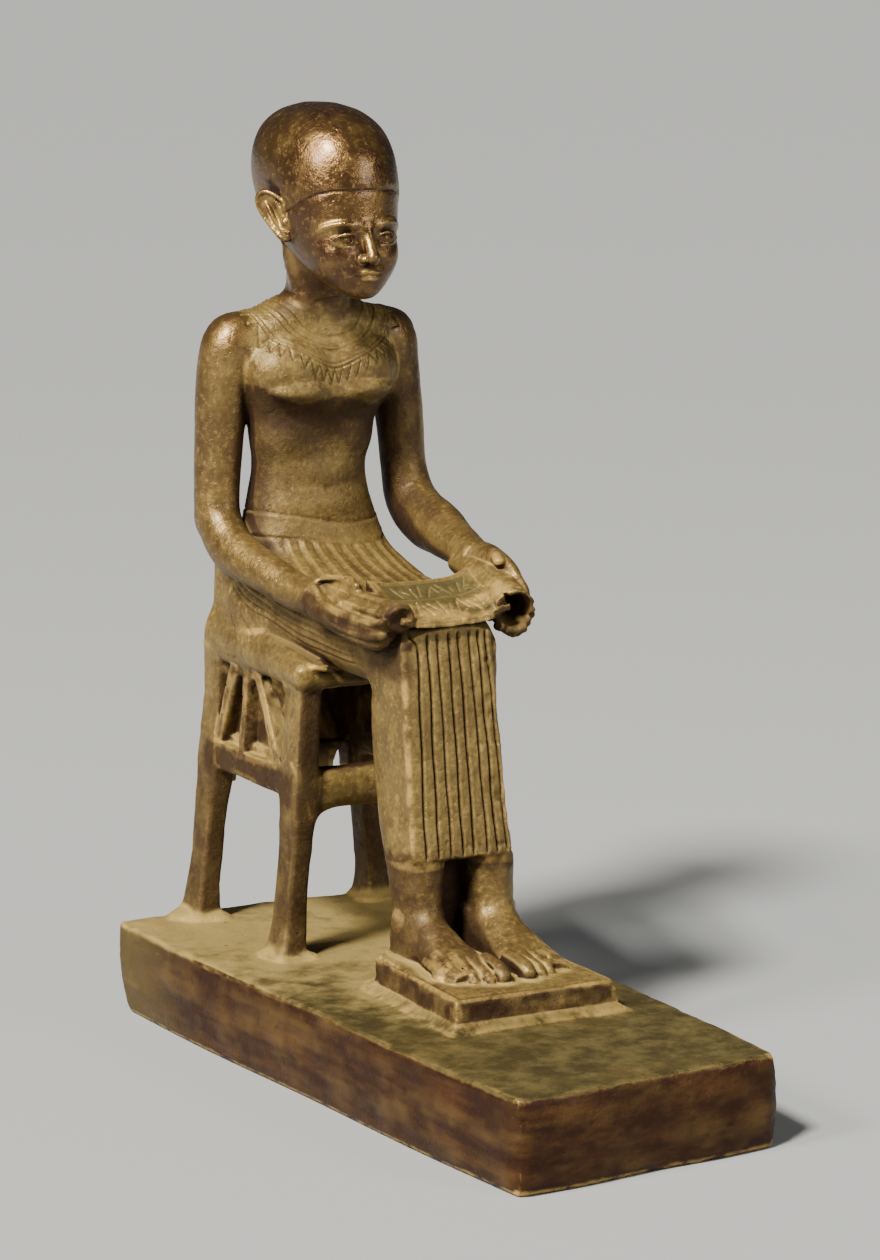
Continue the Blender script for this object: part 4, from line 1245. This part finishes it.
    # ochre dust that lies on the plinth's top, most of it beside what stands there
    lies = math_("MULTIPLY", span(nz, 0.2, 0.75), span(height, 0.105, 0.15, 1.0, 0.0))
    amount = math_("ADD", math_("MULTIPLY", mid, 0.5), math_("MULTIPLY", big, 0.5))
    amount = math_("ADD", amount, math_("MULTIPLY", math_("MAXIMUM", sheltered, math_("MULTIPLY", enclosed, 1.2)), 0.5))
    amount = math_("ADD", amount, span(along, -0.050, 0.040, -0.30, 0.24))
    dust = math_("MULTIPLY", math_("MULTIPLY", lies, span(amount, 0.42, 0.80)), 0.9)
    ledge = math_("MULTIPLY", math_("MULTIPLY", span(hollow, 0.04, 0.4), span(nz, 0.2, 0.7)), span(height, 0.12, 0.5, 1.0, 0.3))
    dust = math_("MAXIMUM", dust, math_("MULTIPLY", ledge, off))
    dust = math_("MULTIPLY", dust, 0.85)
    col = mix(dust, col, (0.32, 0.235, 0.076))
    # worn bright edges
    open_ = span(sheltered, 0.45, 0.15)
    worn = math_("MULTIPLY", math_("MULTIPLY", span(rim, 0.08, 0.28), span(mid, 0.36, 0.60)), open_)
    worn = math_("MAXIMUM", worn, math_("MULTIPLY", up_, 0.4))
    worn = math_("MULTIPLY", worn, math_("SUBTRACT", 1.0, math_("MULTIPLY", dark, 0.85)))
    worn = math_("MULTIPLY", worn, math_("SUBTRACT", 1.0, math_("MULTIPLY", polished, 0.4)))
    edge = math_("MULTIPLY", span(rim, 0.05, 0.20), span(height, 0.083, 0.092, 1.0, 0.0))
    worn = math_("MAXIMUM", worn, math_("MULTIPLY", edge, span(mid, 0.36, 0.56)))
    col = mix(math_("MULTIPLY", worn, 0.8), col, (0.55, 0.36, 0.11))
    link(col, bs.inputs["Base Color"])

    metal = math_("ADD", math_("MULTIPLY", polished, 0.45), 0.38)
    metal = math_("SUBTRACT", metal, math_("MULTIPLY", dust, 0.3))
    metal = math_("SUBTRACT", metal, math_("MULTIPLY", sides, 0.2))
    link(math_("SUBTRACT", metal, math_("MULTIPLY", dark, 0.25), True), bs.inputs["Metallic"])
    shine = math_("SUBTRACT", 0.38, math_("MULTIPLY", math_("MAXIMUM", dark, sides), 0.26))
    link(shine, bs.inputs["Specular IOR Level"])
    rough = span(math_("ADD", math_("MULTIPLY", mid, 0.6), math_("MULTIPLY", small, 0.4)), 0.3, 0.7, 0.40, 0.60)
    rough = math_("SUBTRACT", rough, math_("MULTIPLY", polished, 0.16))
    rough = math_("ADD", rough, math_("MULTIPLY", dust, 0.25))
    rough = math_("ADD", rough, math_("MULTIPLY", dark, 0.18))
    rough = math_("SUBTRACT", rough, math_("MULTIPLY", worn, 0.08))
    link(rough, bs.inputs["Roughness"])
    link(math_("MULTIPLY", math_("MULTIPLY", polished, math_("SUBTRACT", 1.0, dark)), 0.35), bs.inputs["Coat Weight"])
    bs.inputs["Coat Roughness"].default_value = 0.24

    # fine grain, pits and brushing
    h = math_("ADD", math_("MULTIPLY", grain, 0.35), math_("MULTIPLY", small, 0.9))
    h = math_("ADD", h, math_("MULTIPLY", span(tex(900, 2, 0.5), 0.62, 0.74), -0.45))
    bump = new("ShaderNodeBump")
    bump.inputs["Strength"].default_value = 0.8
    bump.inputs["Distance"].default_value = 0.00014
    link(h, bump.inputs["Height"])
    link(bump.outputs[0], bs.inputs["Normal"])
    return mat


# -------------------------------------------------------------------- scene

statue = casting()
statue.data.materials.append(bronze())
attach(statue, "root")
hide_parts("seated_figure_casting")
note("statue")


def floor():
    n, r = 96, 6.0
    P = [(r * math.cos(2 * math.pi * k / n), r * math.sin(2 * math.pi * k / n), -0.0002) for k in range(n)]
    me = bpy.data.meshes.new("studio_floor")
    me.from_pydata(P, [], [list(range(n))])
    ob = bpy.data.objects.new("studio_floor", me)
    bpy.context.scene.collection.objects.link(ob)
    mat = bpy.data.materials.new("pale_floor")
    mat.use_nodes = True
    bs = mat.node_tree.nodes["Principled BSDF"]
    bs.inputs["Base Color"].default_value = (0.35, 0.365, 0.38, 1)
    bs.inputs["Roughness"].default_value = 0.9
    bs.inputs["Specular IOR Level"].default_value = 0.15
    me.materials.append(mat)
    return ob


floor()

world = bpy.data.worlds.new("studio")
world.use_nodes = True
bpy.context.scene.world = world
bg = world.node_tree.nodes["Background"]
bg.inputs["Color"].default_value = (0.62, 0.66, 0.72, 1)
bg.inputs["Strength"].default_value = 0.09

AZ, EL = math.radians(-31.175), math.radians(10.363)
back = Vector((math.sin(AZ) * math.cos(EL), -math.cos(AZ) * math.cos(EL), math.sin(EL)))
right = Vector((math.cos(AZ), math.sin(AZ), 0))
flat_back = Vector((math.sin(AZ), -math.cos(AZ), 0))
middle = Vector((0, 0, 0.065))


def light(name, kind, toward, energy, colour, **more):
    """toward: how far along the camera's right, towards the camera, and up"""
    data = bpy.data.lights.new(name, kind)
    data.energy = energy
    data.color = colour
    for k, v in more.items():
        setattr(data, k, v)
    ob = bpy.data.objects.new(name, data)
    bpy.context.scene.collection.objects.link(ob)
    d = right * toward[0] + flat_back * toward[1] + Vector((0, 0, toward[2]))
    ob.location = middle + d
    ob.rotation_euler = d.to_track_quat("Z", "Y").to_euler()
    return ob


light("key", "SUN", (-0.54, 0.78, 1.05), 7.5, (1.0, 0.95, 0.85), angle=math.radians(10))
light("side", "AREA", (-0.60, 0.48, 0.48), 6.5, (1.0, 0.93, 0.80), size=0.20)
light("fill", "AREA", (0.72, 0.48, 0.36), 3.2, (1.0, 0.95, 0.86), size=0.30)

cam = bpy.data.objects.new("camera", bpy.data.cameras.new("camera"))
bpy.context.scene.collection.objects.link(cam)
cam.data.sensor_fit = "VERTICAL"
cam.data.sensor_height = 36.0
cam.data.lens = 4500 / 1260 * 36
cam.data.clip_start = 0.01
cam.data.clip_end = 50
cam.location = (-0.322337, -0.532375, 0.178123)
up = back.cross(right)
cam.rotation_euler = Matrix((right, up, back)).transposed().to_euler()
bpy.context.scene.camera = cam

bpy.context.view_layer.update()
note("done")
